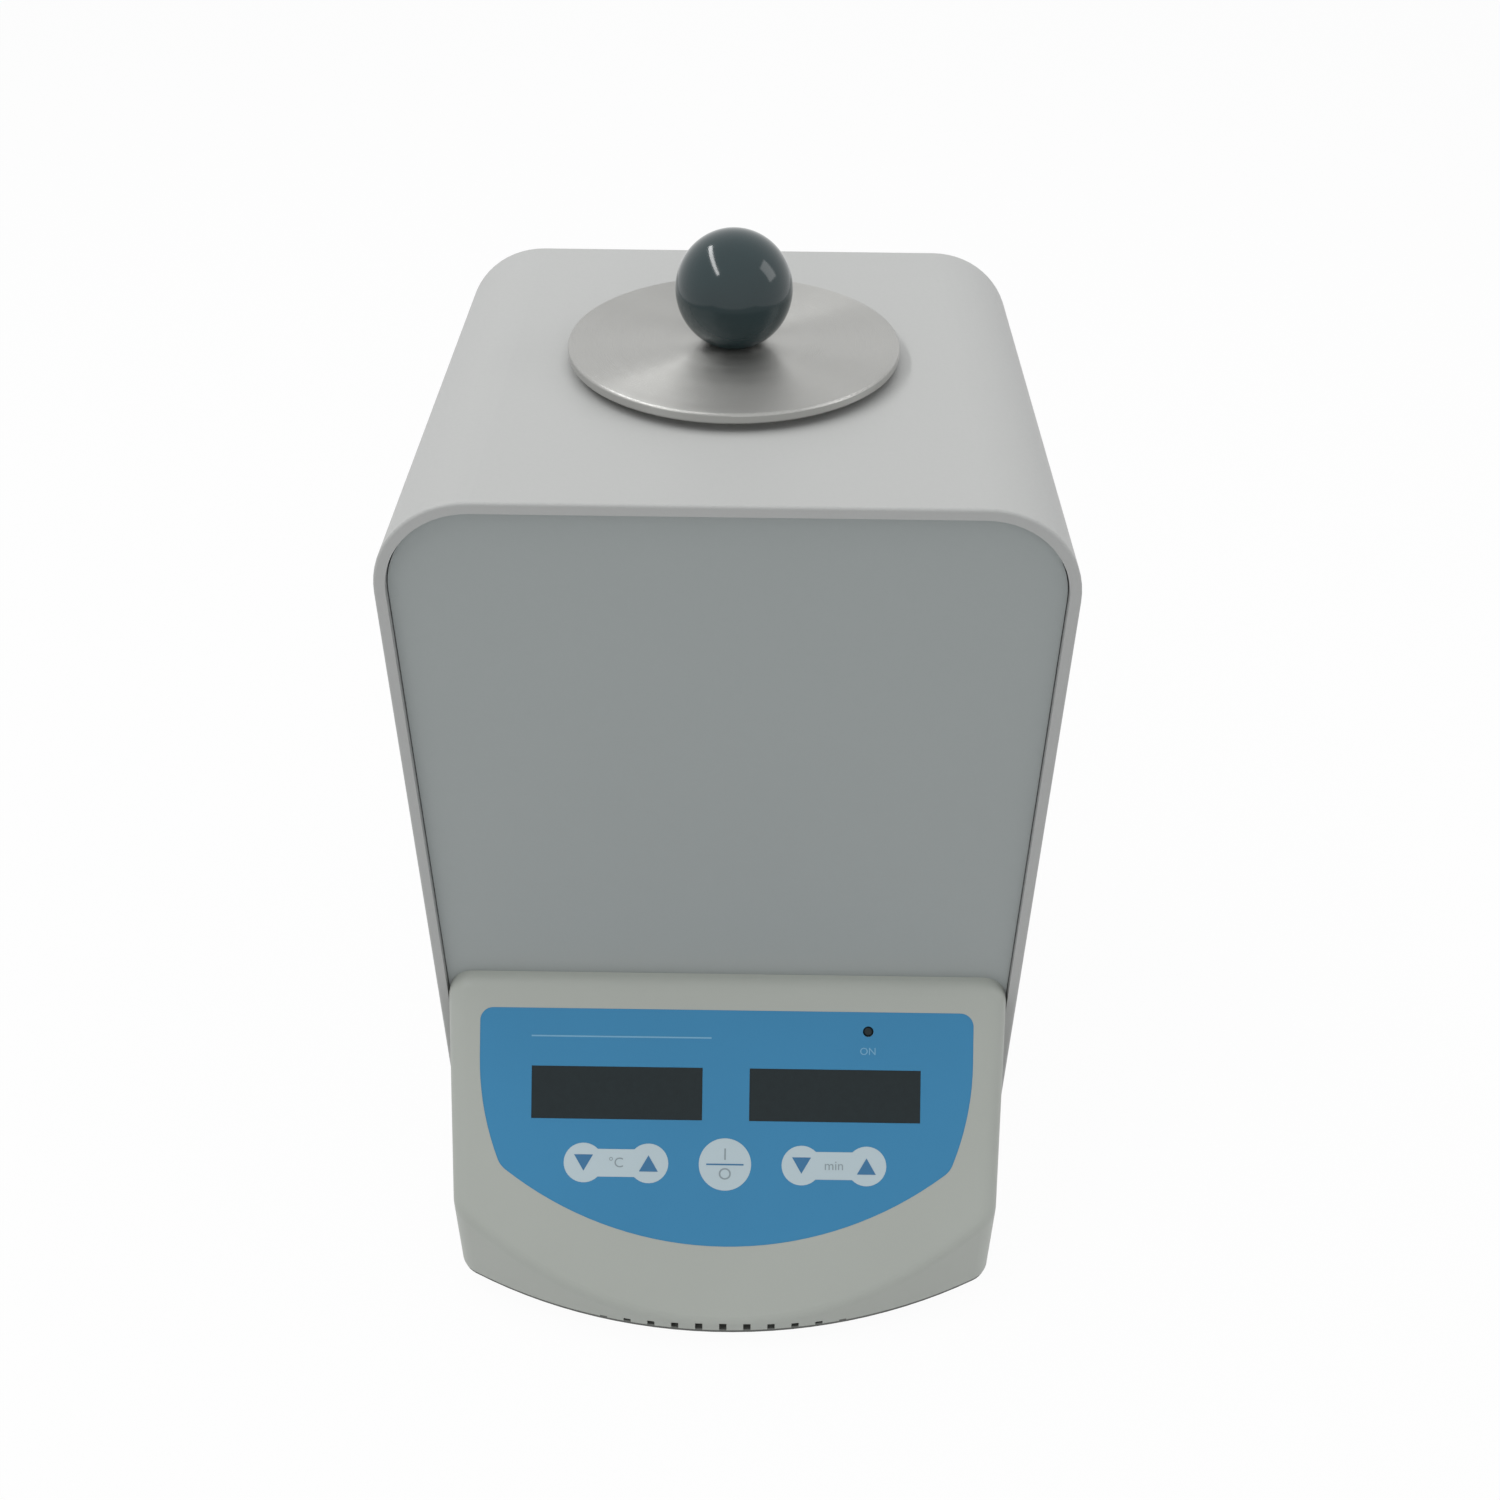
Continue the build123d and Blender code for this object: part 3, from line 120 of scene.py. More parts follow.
class Finish(Graph):
    # one material: its Principled shader and what feeds it
    def __init__(self, name, **constants):
        self.material = bpy.data.materials.new(name)
        self.material.use_nodes = True
        super().__init__(self.material.node_tree)
        self.shader = self.tree.nodes["Principled BSDF"]
        self.feed(**constants)

    def feed(self, **sockets):
        for key, value in sockets.items():
            plug(self.tree, value, self.shader.inputs[key.replace("_", " ")])
        return self.material

    def place(self, scale=(1, 1, 1), centre=(0, 0, 0)):
        # object coordinates, moved to a centre and stretched
        coords = self.out(self.node("TexCoord"), "Object")
        shift = tuple(-c * s for c, s in zip(centre, scale))
        return self.out(self.node("Mapping", Vector=coords, Location=shift, Scale=scale), "Vector")

    def noise(self, where, scale, detail=3.0, roughness=0.55):
        made = self.node("TexNoise", Vector=where, Scale=scale, Detail=detail, Roughness=roughness)
        return self.out(made, "Fac")

    def mix(self, share, first, second):
        first, second = (item if isinstance(item, Val) else (*item, 1.0) for item in (first, second))
        made = self.node("Mix", {"data_type": "RGBA"}, sockets={0: share, 6: first, 7: second})
        return Val(self.tree, made.outputs[2])

    def vary(self, share, colour, shades):
        # one colour, from its lower to its higher shade
        return self.mix(share, shade(colour, shades[0]), shade(colour, shades[1]))

    def bump(self, height, distance, strength):
        return self.out(self.node("Bump", Height=height, Distance=distance, Strength=strength), "Normal")


def shade(colour, factor):
    return tuple(channel * factor for channel in colour)


paint = {
    "cover": (0.470, 0.474, 0.464), "panel": (0.370, 0.398, 0.393), "base": (0.110, 0.115, 0.106),
    "shine": 0.35, "shades": (0.965, 1.035), "pit": 0.90, "pitShare": 0.25, "relief": 0.6,
    "grain": 900.0, "grainRough": 0.12, "cloud": 9.0, "cloudRough": 0.05,
}


def texturedPaint(name, colour, roughness, grainDepth):
    finish = Finish(name, Specular_IOR_Level=paint["shine"])
    where = finish.place()
    cloud = finish.noise(where, paint["cloud"], detail=2.0)
    grain = finish.noise(where, paint["grain"], detail=4.0, roughness=0.6)
    tone = finish.vary(cloud, colour, paint["shades"])
    tone = finish.mix(grain * paint["pitShare"], tone, shade(colour, paint["pit"]))
    rough = roughness + (grain - 0.5) * paint["grainRough"] + (cloud - 0.5) * paint["cloudRough"]
    relief = finish.bump(grain, grainDepth, paint["relief"])
    return finish.feed(Base_Color=tone, Roughness=rough, Normal=relief)


plastic = {
    "console": (0.425, 0.446, 0.410), "shine": 0.4, "shades": (0.95, 1.05), "cloud": 14.0,
    "spark": 1500.0, "sparkRough": 0.16, "sparkDepth": 0.00004, "relief": 0.5,
}


def sparkPlastic(name, colour, roughness):
    finish = Finish(name, Specular_IOR_Level=plastic["shine"])
    where = finish.place()
    spark = finish.noise(where, plastic["spark"], roughness=0.65)
    cloud = finish.noise(where, plastic["cloud"], detail=2.0)
    tone = finish.vary(cloud, colour, plastic["shades"])
    rough = roughness + (spark - 0.5) * plastic["sparkRough"]
    relief = finish.bump(spark, plastic["sparkDepth"], plastic["relief"])
    return finish.feed(Base_Color=tone, Roughness=rough, Normal=relief)


film = {
    "blue": (0.040, 0.228, 0.428), "shine": 0.35, "shades": (0.95, 1.06), "drift": 18.0,
    "velvet": 2600.0, "velvetRough": 0.14, "velvetDepth": 0.00002, "relief": 0.5,
}


def printedFilm(name, colour, roughness):
    finish = Finish(name, Specular_IOR_Level=film["shine"])
    where = finish.place()
    velvet = finish.noise(where, film["velvet"], detail=2.0, roughness=0.5)
    drift = finish.noise(where, film["drift"], detail=2.0)
    tone = finish.vary(drift, colour, film["shades"])
    rough = roughness + (velvet - 0.5) * film["velvetRough"]
    relief = finish.bump(velvet, film["velvetDepth"], film["relief"])
    return finish.feed(Base_Color=tone, Roughness=rough, Normal=relief)


glaze = {
    "tint": (0.009, 0.015, 0.017), "shades": (1.0, 1.6), "shine": 0.22, "rough": 0.24,
    "dust": 420.0, "dustRough": 0.14,
}


def smokedWindow(name):
    finish = Finish(name, Specular_IOR_Level=glaze["shine"])
    dust = finish.noise(finish.place(), glaze["dust"], detail=5.0, roughness=0.7)
    tone = finish.vary(dust, glaze["tint"], glaze["shades"])
    return finish.feed(Base_Color=tone, Roughness=glaze["rough"] + dust * glaze["dustRough"])


turned = {
    "steel": (0.43, 0.43, 0.415), "shades": (0.90, 1.06), "stain": 0.86, "stainShare": 0.3,
    "rings": 3600.0, "fineRings": 4.3, "wander": 1.4, "smear": 60.0,
    "coarseShare": 0.6, "fineShare": 0.4, "ringDepth": 0.00012, "relief": 0.85,
    "rough": 0.24, "ringRough": 0.12, "smearRough": 0.06, "sheen": 0.9, "sheenTurn": 0.25,
}


def turnedSteel(name, centre):
    # fine turning rings round an upright axis
    finish = Finish(name, Metallic=1.0, Anisotropic=turned["sheen"], Anisotropic_Rotation=turned["sheenTurn"])
    where = finish.place(centre=centre)
    flat = finish.node("VectorMath", {"operation": "MULTIPLY"}, sockets={0: where, 1: (1, 1, 0)})
    radius = finish.node("VectorMath", {"operation": "LENGTH"}, sockets={0: finish.out(flat, "Vector")})
    smear = finish.noise(where, turned["smear"])
    phase = finish.out(radius, "Value") * turned["rings"] + smear * turned["wander"]
    coarse, fine = (
        finish.out(finish.node("TexNoise", {"noise_dimensions": "1D"}, W=phase, Scale=scale, Detail=detail),
                   "Fac")
        for scale, detail in ((1.0, 4.0), (turned["fineRings"], 3.0)))
    tone = finish.vary(coarse, turned["steel"], turned["shades"])
    tone = finish.mix(smear * turned["stainShare"], tone, shade(turned["steel"], turned["stain"]))
    rough = turned["rough"] + coarse * turned["ringRough"] + smear * turned["smearRough"]
    grooves = coarse * turned["coarseShare"] + fine * turned["fineShare"]
    relief = finish.bump(grooves, turned["ringDepth"], turned["relief"])
    return finish.feed(Base_Color=tone, Roughness=rough, Normal=relief)


resin = {
    "colour": (0.012, 0.031, 0.035), "shades": (0.85, 1.25), "swirl": 40.0, "swirlRough": 0.05,
    "scratch": 240.0, "scratchRough": 0.05, "scratchStretch": (1, 0.12, 1), "shine": 0.5, "rough": 0.06,
}


def polishedResin(name):
    finish = Finish(name, Specular_IOR_Level=resin["shine"])
    swirl = finish.noise(finish.place(centre=tuple(lidCentre)), resin["swirl"])
    scratch = finish.noise(finish.place(resin["scratchStretch"]), resin["scratch"], detail=4.0, roughness=0.7)
    tone = finish.vary(swirl, resin["colour"], resin["shades"])
    rough = resin["rough"] + swirl * resin["swirlRough"] + scratch * resin["scratchRough"]
    return finish.feed(Base_Color=tone, Roughness=rough)


zinc = {"metal": 0.9, "shades": (0.85, 1.1), "crystal": 0.12, "patch": 0.4, "patchRough": 0.12}


def sheetSteel(name, colour, roughness=0.38, spangle=120.0):
    # zinc coat: patches of crystal over a drawn sheet
    finish = Finish(name, Metallic=zinc["metal"])
    where = finish.place()
    cells = finish.out(finish.node("TexVoronoi", {"feature": "F1"}, Vector=where, Scale=spangle), "Color")
    patch = finish.noise(where, spangle * zinc["patch"])
    tone = finish.mix(zinc["crystal"], finish.vary(patch, colour, zinc["shades"]), cells)
    return finish.feed(Base_Color=tone, Roughness=roughness + patch * zinc["patchRough"])


drawn = {
    "shades": (0.92, 1.05), "haze": 30.0, "lines": 900.0, "lineStretch": (1, 1, 0.02),
    "lineRough": 0.14, "lineDepth": 0.00002, "relief": 0.5,
}


def drawnSteel(name, colour, roughness=0.26):
    finish = Finish(name, Metallic=1.0)
    lines = finish.noise(finish.place(drawn["lineStretch"]), drawn["lines"])
    haze = finish.noise(finish.place(), drawn["haze"])
    tone = finish.vary(haze, colour, drawn["shades"])
    relief = finish.bump(lines, drawn["lineDepth"], drawn["relief"])
    return finish.feed(Base_Color=tone, Roughness=roughness + lines * drawn["lineRough"], Normal=relief)


rubber = {
    "dark": (0.018, 0.018, 0.018), "light": (0.045, 0.045, 0.043), "shine": 0.3, "rough": 0.72,
    "grit": 1800.0, "gritRough": 0.2, "gritDepth": 0.00005, "relief": 0.5,
}


def softRubber(name):
    finish = Finish(name, Specular_IOR_Level=rubber["shine"])
    grit = finish.noise(finish.place(), rubber["grit"], detail=4.0, roughness=0.7)
    tone = finish.mix(grit, rubber["dark"], rubber["light"])
    relief = finish.bump(grit, rubber["gritDepth"], rubber["relief"])
    return finish.feed(Base_Color=tone, Roughness=rubber["rough"] + grit * rubber["gritRough"], Normal=relief)


wool = {
    "dark": (0.44, 0.41, 0.35), "light": (0.74, 0.71, 0.64), "shine": 0.15, "rough": 0.85,
    "fibre": 320.0, "fibreStretch": (1, 1, 3), "fibreRough": 0.1, "fibreDepth": 0.0006, "relief": 0.8,
}


def pressedWool(name):
    finish = Finish(name, Specular_IOR_Level=wool["shine"])
    fibre = finish.noise(finish.place(wool["fibreStretch"]), wool["fibre"], detail=6.0, roughness=0.7)
    tone = finish.mix(fibre, wool["dark"], wool["light"])
    relief = finish.bump(fibre, wool["fibreDepth"], wool["relief"])
    return finish.feed(Base_Color=tone, Roughness=wool["rough"] + fibre * wool["fibreRough"], Normal=relief)


laminate = {
    "mask": (0.020, 0.110, 0.045), "track": (0.060, 0.230, 0.090), "speck": (0.015, 0.070, 0.030),
    "pitch": 160.0, "gap": 0.06, "stagger": 0.37, "trackShare": 0.5, "trackDepth": 0.00003, "relief": 0.6,
    "speckScale": 700.0, "speckShare": 0.2, "speckRough": 0.12, "shine": 0.5, "rough": 0.32,
}


def boardLaminate(name):
    # solder mask over tracks that show as slightly raised, lighter lines
    finish = Finish(name, Specular_IOR_Level=laminate["shine"])
    where = finish.place()
    bricks = finish.node("TexBrick", {"offset": laminate["stagger"]}, Vector=where,
                         Scale=laminate["pitch"], Mortar_Size=laminate["gap"])
    tracks = finish.out(bricks, "Fac")
    speck = finish.noise(where, laminate["speckScale"])
    tone = finish.mix(tracks * laminate["trackShare"], laminate["mask"], laminate["track"])
    tone = finish.mix(speck * laminate["speckShare"], tone, laminate["speck"])
    rough = laminate["rough"] + speck * laminate["speckRough"]
    relief = finish.bump(tracks, laminate["trackDepth"], laminate["relief"])
    return finish.feed(Base_Color=tone, Roughness=rough, Normal=relief)


glass = {
    "dark": (0.70, 0.76, 0.74), "light": (0.88, 0.92, 0.90), "through": 0.55, "bend": 1.5, "shine": 0.6,
    "seed": 900.0, "rough": 0.06, "seedRough": 0.06,
}


def beadGlass(name):
    finish = Finish(name, Transmission_Weight=glass["through"], IOR=glass["bend"],
                    Specular_IOR_Level=glass["shine"])
    seed = finish.noise(finish.place(), glass["seed"], detail=2.0)
    tone = finish.mix(seed, glass["dark"], glass["light"])
    return finish.feed(Base_Color=tone, Roughness=glass["rough"] + seed * glass["seedRough"])


# colour stops run from the painted highlight on each bead's crown to the painted shade between beads
heap = {
    "stops": ((0.0, (0.80, 0.84, 0.82)), (0.55, (0.46, 0.50, 0.49)), (0.9, (0.20, 0.23, 0.23))),
    "cells": 420.0, "shine": 0.6, "rough": 0.15, "gapRough": 0.4, "gapDepth": 0.0012, "relief": 0.9,
}


def shadedBeadHeap(name):
    # the beads below the loose ones: a painted highlight on pale crowns and painted shade in dark gaps
    finish = Finish(name, Specular_IOR_Level=heap["shine"])
    cells = finish.node("TexVoronoi", {"feature": "F1"}, Vector=finish.place(), Scale=heap["cells"])
    depth = finish.out(cells, "Distance")
    # painted highlight and painted shade, set by the distance from each bead's middle
    tone = finish.out(finish.node("ValToRGB", stops=heap["stops"], Fac=depth), "Color")
    relief = finish.bump(1 - depth, heap["gapDepth"], heap["relief"])
    return finish.feed(Base_Color=tone, Roughness=heap["rough"] + depth * heap["gapRough"], Normal=relief)


finishes = {
    "cover_paint": texturedPaint("cover_paint", paint["cover"], 0.46, 0.00004),
    "panel_paint": texturedPaint("panel_paint", paint["panel"], 0.50, 0.00003),
    "base_coat": texturedPaint("base_coat", paint["base"], 0.55, 0.00004),
    "console_plastic": sparkPlastic("console_plastic", plastic["console"], 0.44),
    "overlay_film": printedFilm("overlay_film", film["blue"], 0.42),
    "window_tint": smokedWindow("window_tint"),
    "lamp_lens": smokedWindow("lamp_lens"),
    "module_plastic": sparkPlastic("module_plastic", (0.02, 0.02, 0.021), 0.5),
    "turned_stainless": turnedSteel("turned_stainless", tuple(lidCentre)),
    "stainless": drawnSteel("stainless", (0.56, 0.55, 0.53)),
    "knob_resin": polishedResin("knob_resin"),
    "galvanised_sheet": sheetSteel("galvanised_sheet", (0.50, 0.51, 0.52)),
    "screw_zinc": drawnSteel("screw_zinc", (0.60, 0.60, 0.60), 0.2),
    "rubber": softRubber("rubber"),
    "board_laminate": boardLaminate("board_laminate"),
    "black_plastic": sparkPlastic("black_plastic", (0.024, 0.024, 0.025), 0.42),
    "key_plastic": sparkPlastic("key_plastic", (0.55, 0.55, 0.53), 0.4),
    "mineral_wool": pressedWool("mineral_wool"),
    "bead_glass": shadedBeadHeap("bead_glass"),
    "thermostat_case": drawnSteel("thermostat_case", (0.72, 0.72, 0.73), 0.3),
    "brass": drawnSteel("brass", (0.66, 0.46, 0.18), 0.25),
    "transformer_core": sheetSteel("transformer_core", (0.09, 0.09, 0.10), 0.5, 60.0),
    "relay_case": sparkPlastic("relay_case", (0.02, 0.09, 0.28), 0.35),
    "terminal_plastic": sparkPlastic("terminal_plastic", (0.04, 0.27, 0.10), 0.4),
    "capacitor_sleeve": printedFilm("capacitor_sleeve", (0.03, 0.03, 0.07), 0.25),
    "anodised_aluminium": drawnSteel("anodised_aluminium", (0.58, 0.59, 0.60), 0.34),
    "ribbon_jacket": printedFilm("ribbon_jacket", (0.36, 0.36, 0.37), 0.45),
    "rocker_plastic": polishedResin("rocker_plastic"),
    "wire_jacket": printedFilm("wire_jacket", (0.42, 0.05, 0.04), 0.5),
}

for entry in frame["record"]["subparts"]:
    thing = nodes[entry["node"]]
    thing.data.materials.clear()
    thing.data.materials.append(finishes[entry["material_slot"]])
print("materials set:", len(finishes))


def faceMatrix():
    # x across, y up the slope, z out of the sloped face
    length = math.hypot(face["run"], face["rise"])
    upSlope = Vector((0, face["run"] / length, face["rise"] / length))
    outward = Vector((0, -face["rise"] / length, face["run"] / length))
    turn = Matrix((Vector((1, 0, 0)), upSlope, outward)).transposed().to_4x4()
    return Matrix.Translation((0, face["topY"], face["topZ"])) @ turn


def addPiece(name, mesh, material, body="root", smooth=False):
    thing = bpy.data.objects.new(name, mesh)
    bpy.context.scene.collection.objects.link(thing)
    mesh.materials.clear()
    mesh.materials.append(material)
    for polygon in mesh.polygons:
        polygon.use_smooth = smooth
    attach(thing, body)
    return thing


def meshFrom(shape, name):
    mesh = bpy.data.meshes.new(name)
    bmesh.ops.recalc_face_normals(shape, faces=shape.faces)
    shape.to_mesh(mesh)
    shape.free()
    return mesh


# drops are distances down the slope from the top edge of the face
prints = {
    "lift": 0.02 * mm, "height": 0.06 * mm, "filmTop": -0.1 * mm,
    "keyDrop": 54.3 * mm, "pairX": 32.7 * mm, "pairHalf": 9.75 * mm,
    "keyRadius": 5.95 * mm, "barHalf": 4.15 * mm, "arcSteps": 28,
    "startRadius": 7.85 * mm, "startSteps": 64, "startRule": 5.6 * mm,
    "arrowHalf": 2.85 * mm, "arrowHeight": 4.9 * mm, "ruleHalf": 0.22 * mm,
    "lampX": 42.45 * mm, "lampWordDrop": 19.9 * mm, "lampWordSize": 3.1 * mm, "wordSteps": 4,
    "longRuleX": -58.5 * mm, "longRuleDrop": 16.4 * mm, "longRule": 54.0 * mm,
}
inks = {
    "pale": (0.50, 0.60, 0.64), "blue": (0.045, 0.17, 0.33),
    "grey": (0.27, 0.33, 0.36), "light": (0.19, 0.42, 0.60),
}


def flatDisc(radius, x, drop, segments):
    shape = bmesh.new()
    bmesh.ops.create_circle(shape, cap_ends=True, radius=radius, segments=segments,
                            matrix=Matrix.Translation((x, -drop, 0)))
    return shape


def flatFace(*corners):
    shape = bmesh.new()
    shape.faces.new([shape.verts.new((x, y, 0)) for x, y in corners])
    return shape


def flatRule(x0, x1, drop):
    low, high = -drop - prints["ruleHalf"], -drop + prints["ruleHalf"]
    return flatFace((x0, low), (x1, low), (x1, high), (x0, high))


def dogBone(x):
    # two round key fields joined by a bar: an arc spun from the bar's corner, mirrored and filled
    radius, reach = prints["keyRadius"], prints["pairHalf"]
    bend = math.asin(prints["barHalf"] / radius)
    shape = bmesh.new()
    corner = shape.verts.new((reach - radius * math.cos(bend), -prints["barHalf"], 0))
    bmesh.ops.spin(shape, geom=[corner], cent=(reach, 0, 0), axis=(0, 0, 1),
                   angle=2 * (math.pi - bend), steps=prints["arcSteps"])
    bmesh.ops.mirror(shape, geom=shape.verts[:] + shape.edges[:], axis="X")
    ends = [vert for vert in shape.verts if len(vert.link_edges) == 1]
    for side in (1, -1):
        shape.edges.new([vert for vert in ends if vert.co.y * side > 0])
    bmesh.ops.contextual_create(shape, geom=shape.edges[:])
    bmesh.ops.translate(shape, verts=shape.verts, vec=(x, -prints["keyDrop"], 0))
    return shape


def triangle(x, drop, direction):
    half, tall = prints["arrowHalf"], prints["arrowHeight"] / 2 * direction
    return flatFace((x - half, -drop - tall), (x + half, -drop - tall), (x, -drop + tall))


def thicken(shape, height):
    grown = bmesh.ops.extrude_face_region(shape, geom=list(shape.faces))
    verts = [item for item in grown["geom"] if isinstance(item, bmesh.types.BMVert)]
    bmesh.ops.translate(shape, verts=verts, vec=(0, 0, height))
    return shape


def layPrint(name, shapes, material, layer):
    # joins flat shapes, gives them a hair of height and lays them on the film
    joined = bmesh.new()
    for shape in shapes:
        mesh = bpy.data.meshes.new("scratch")
        thicken(shape, prints["height"]).to_mesh(mesh)
        shape.free()
        joined.from_mesh(mesh)
        bpy.data.meshes.remove(mesh)
    lift = prints["filmTop"] + prints["lift"] + layer * prints["height"]
    bmesh.ops.transform(joined, matrix=faceMatrix() @ Matrix.Translation((0, 0, lift)), verts=joined.verts)
    return addPiece(name, meshFrom(joined, name), material)


def wordShape(text, size, x, drop):
    # generic unit marks and symbols, as flat outlines
    curve = bpy.data.curves.new("word", "FONT")
    curve.body = text
    curve.size = size
    curve.align_x = "CENTER"
    curve.align_y = "CENTER"
    curve.resolution_u = prints["wordSteps"]
    holder = bpy.data.objects.new("word", curve)
    bpy.context.scene.collection.objects.link(holder)
    bpy.context.view_layer.update()
    mesh = bpy.data.meshes.new_from_object(holder.evaluated_get(bpy.context.evaluated_depsgraph_get()))
    shape = bmesh.new()
    shape.from_mesh(mesh)
    bmesh.ops.remove_doubles(shape, verts=shape.verts, dist=1e-7)
    bmesh.ops.translate(shape, verts=shape.verts, vec=(x, -drop, 0))
    bpy.data.objects.remove(holder)
    bpy.data.meshes.remove(mesh)
    return shape


ink = {name: printedFilm(name + "_ink", colour, 0.40) for name, colour in inks.items()}
keyDrop = prints["keyDrop"]
pairs = (-prints["pairX"], prints["pairX"])

pads = [dogBone(middle) for middle in pairs]
pads.append(flatDisc(prints["startRadius"], 0, keyDrop, prints["startSteps"]))
layPrint("key_fields", pads, ink["pale"], 0)
arrows = []
for middle in pairs:
    arrows += [triangle(middle + side * prints["pairHalf"], keyDrop, side) for side in (-1, 1)]
layPrint("key_arrows", arrows, ink["blue"], 1)
marks = {  # letter height, place across, distance below the middle of the keys
    "°C": (4.2 * mm, pairs[0], 0), "min": (4.0 * mm, pairs[1], 0),
    "I": (5.0 * mm, 0, -2.9 * mm), "O": (5.0 * mm, 0, 3.0 * mm),
}
words = [wordShape(text, size, x, keyDrop + below) for text, (size, x, below) in marks.items()]
layPrint("key_marks", words, ink["grey"], 1)
layPrint("start_stop_rule", [flatRule(-prints["startRule"], prints["startRule"], keyDrop)], ink["blue"], 1)
lampWord = wordShape("ON", prints["lampWordSize"], prints["lampX"], prints["lampWordDrop"])
longRule = flatRule(prints["longRuleX"], prints["longRuleX"] + prints["longRule"], prints["longRuleDrop"])
layPrint("light_print", [lampWord, longRule], ink["light"], 0)
print("print laid on the film")


beads = {
    "radius": 1.5 * mm, "rows": 15, "wellRadius": 22.6 * mm, "seed": 7, "pitch": 2.02, "rowPitch": 0.87,
    "shift": 0.15, "bounce": 0.3, "crown": 1.5 * mm, "sunk": 1.9 * mm,
}


def looseBeads():
    # the top layer of beads, each a small ball settled beside its neighbours
    random.seed(beads["seed"])
    fillLow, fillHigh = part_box("bead_fill")
    centre = (fillLow + fillHigh) / 2
    pitch = beads["pitch"] * beads["radius"]
    shift, bounce = beads["shift"], beads["bounce"]
    joined = bmesh.new()
    for row in range(-beads["rows"], beads["rows"] + 1):
        for column in range(-beads["rows"], beads["rows"] + 1):
            x = (column + 0.5 * (row % 2)) * pitch + random.uniform(-shift, shift) * mm
            y = row * pitch * beads["rowPitch"] + random.uniform(-shift, shift) * mm
            away = math.hypot(x, y)
            if away > beads["wellRadius"] - beads["radius"]:
                continue
            crown = beads["crown"] * (1 - (away / beads["wellRadius"]) ** 2)
            z = fillHigh.z - beads["sunk"] + crown + random.uniform(-bounce, bounce) * mm
            spot = Matrix.Translation((centre.x + x, centre.y + y, z))
            bmesh.ops.create_icosphere(joined, subdivisions=2, radius=beads["radius"], matrix=spot)
    mesh = meshFrom(joined, "loose_beads")
    return addPiece("loose_beads", mesh, beadGlass("clear_bead"), smooth=True)


looseBeads()
print("beads settled")

# the photograph's viewing angle: place, lens and sensor in mm, angles in degrees
view = {
    "place": (7.56, -384.7, 441.4), "yaw": -0.26, "pitch": 38.12, "roll": 0.61, "lens": 38.25, "sensor": 36.0,
}


def setCamera():
    yaw, pitch, roll = (math.radians(view[key]) for key in ("yaw", "pitch", "roll"))
    forward = Vector((math.sin(yaw) * math.cos(pitch), math.cos(yaw) * math.cos(pitch), -math.sin(pitch)))
    right = Vector((math.cos(yaw), -math.sin(yaw), 0))
    up = right.cross(forward)
    right, up = right * math.cos(roll) + up * math.sin(roll), up * math.cos(roll) - right * math.sin(roll)
    data = bpy.data.cameras.new("camera")
    data.lens = view["lens"]
    data.sensor_width = view["sensor"]
    data.clip_start = 10 * mm
    camera = bpy.data.objects.new("camera", data)
    camera.matrix_world = Matrix((right, up, -forward)).transposed().to_4x4()
    camera.location = Vector(view["place"]) * mm
    bpy.context.scene.collection.objects.link(camera)
    bpy.context.scene.camera = camera


lamps = {
    "overhead": {
        "place": (0.05, 0.12, 1.30), "aim": (0, 0.03, 0.2), "size": (1.2, 1.0), "power": 4.8, "shows": False},
    "left_tube": {
        "place": (-0.80, 0.0, 1.38), "aim": (0, 0, 0.25), "size": (1.8, 0.14), "power": 8.2, "shows": True},
    "right_window": {
        "place": (1.05, 0.05, 0.85), "aim": (0, 0, 0.15), "size": (0.45, 0.6), "power": 1.7, "shows": True},
    "front_fill": {
        "place": (0.0, -1.3, 0.75), "aim": (0, 0, 0.1), "size": (1.4, 0.9), "power": 2.6, "shows": False},
}


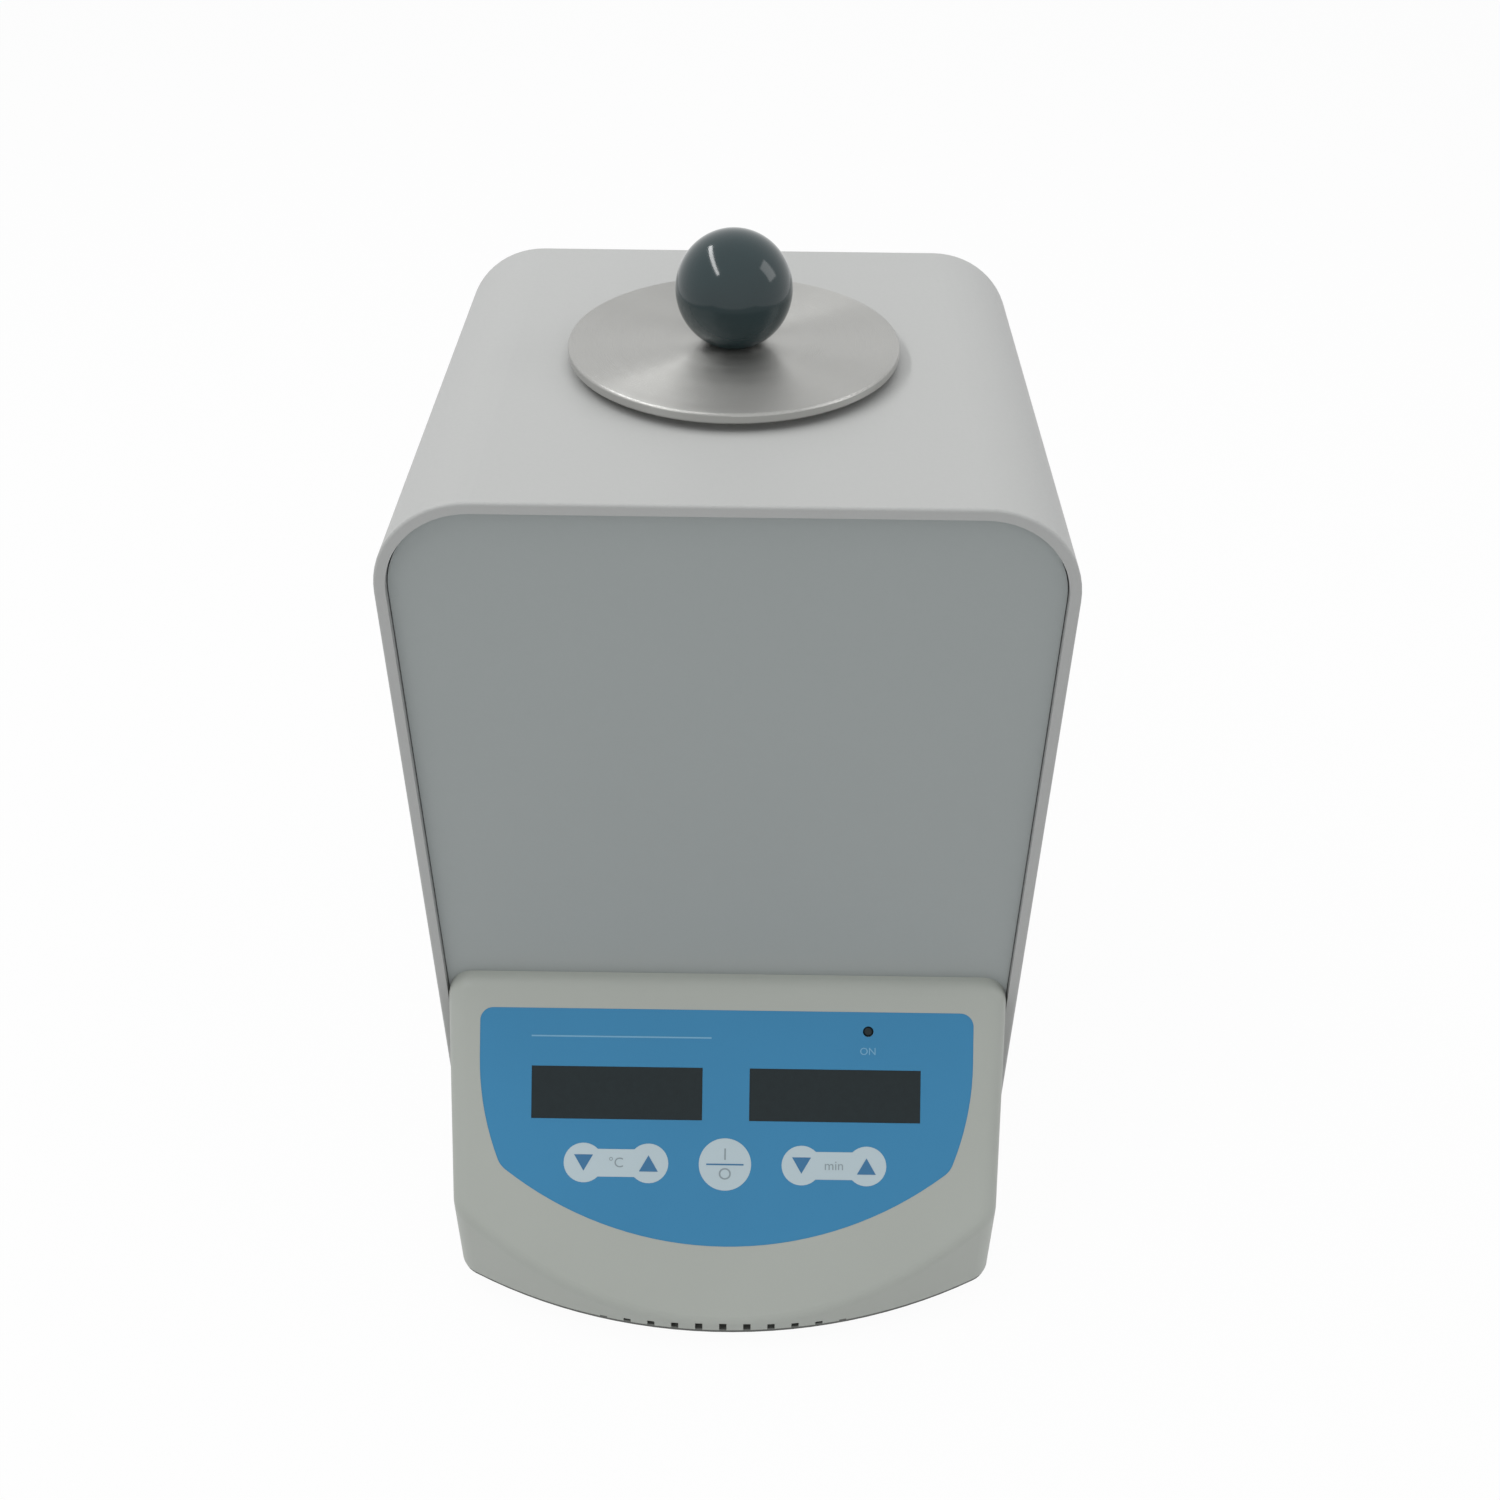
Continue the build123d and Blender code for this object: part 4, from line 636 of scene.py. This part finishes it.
def setLamps():
    # the tube and the window show in gloss, as a thin and a faint highlight on the knob
    for name, lamp in lamps.items():
        data = bpy.data.lights.new(name, "AREA")
        data.shape = "RECTANGLE"
        data.size, data.size_y = lamp["size"]
        data.energy = lamp["power"]
        thing = bpy.data.objects.new(name, data)
        place = Vector(lamp["place"])
        back = (place - Vector(lamp["aim"])).normalized()
        side = Vector((0, 1, 0)) if lamp["shows"] else Vector((1, 0, 0))
        side = (side - back * side.dot(back)).normalized()
        turn = Matrix((side, back.cross(side), back)).transposed().to_4x4()
        thing.matrix_world = Matrix.Translation(place) @ turn
        thing.visible_glossy = lamp["shows"]
        bpy.context.scene.collection.objects.link(thing)


studio = {"light": (0.96, 0.98, 1.0, 1.0), "strength": 0.40, "white": (1.0, 1.0, 1.0, 1.0)}


def setWorld():
    # grey light for the object, white where the camera, gloss or glass sees it directly
    world = bpy.data.worlds.new("studio")
    bpy.context.scene.world = world
    world.use_nodes = True
    graph = Graph(world.node_tree)
    graph.tree.nodes.clear()
    dim = graph.node("Background", Color=studio["light"], Strength=studio["strength"])
    white = graph.node("Background", Color=studio["white"], Strength=1.0)
    choose = graph.node("MixShader", sockets={
        0: graph.directRays(), 1: graph.out(dim, "Background"), 2: graph.out(white, "Background")})
    graph.node("OutputWorld", Surface=graph.out(choose, "Shader"))


ground = {
    "reach": 3.0, "dark": (0.80, 0.80, 0.80), "light": (0.82, 0.82, 0.82), "mottling": 3.0,
    "rough": 0.9, "shine": 0.1, "whiteShare": 0.96,
}


def setFloor():
    # a pale floor that shows white to the camera and keeps a faint shadow
    shape = bmesh.new()
    bmesh.ops.create_grid(shape, x_segments=1, y_segments=1, size=ground["reach"])
    mesh = bpy.data.meshes.new("floor")
    shape.to_mesh(mesh)
    shape.free()
    floor = bpy.data.objects.new("floor", mesh)
    bpy.context.scene.collection.objects.link(floor)
    finish = Finish("floor", Roughness=ground["rough"], Specular_IOR_Level=ground["shine"])
    mottling = finish.noise(finish.place(), ground["mottling"], detail=2.0)
    finish.feed(Base_Color=finish.mix(mottling, ground["dark"], ground["light"]))
    glow = finish.node("Emission", Color=studio["white"], Strength=1.0)
    blend = finish.node("MixShader", sockets={
        0: finish.directRays() * ground["whiteShare"],
        1: finish.out(finish.shader, "BSDF"), 2: finish.out(glow, "Emission")})
    plug(finish.tree, finish.out(blend, "Shader"), finish.tree.nodes["Material Output"].inputs["Surface"])
    mesh.materials.append(finish.material)


setCamera()
setLamps()
setWorld()
setFloor()
bpy.context.scene.view_settings.view_transform = "Standard"
print("camera, lamps and floor set")
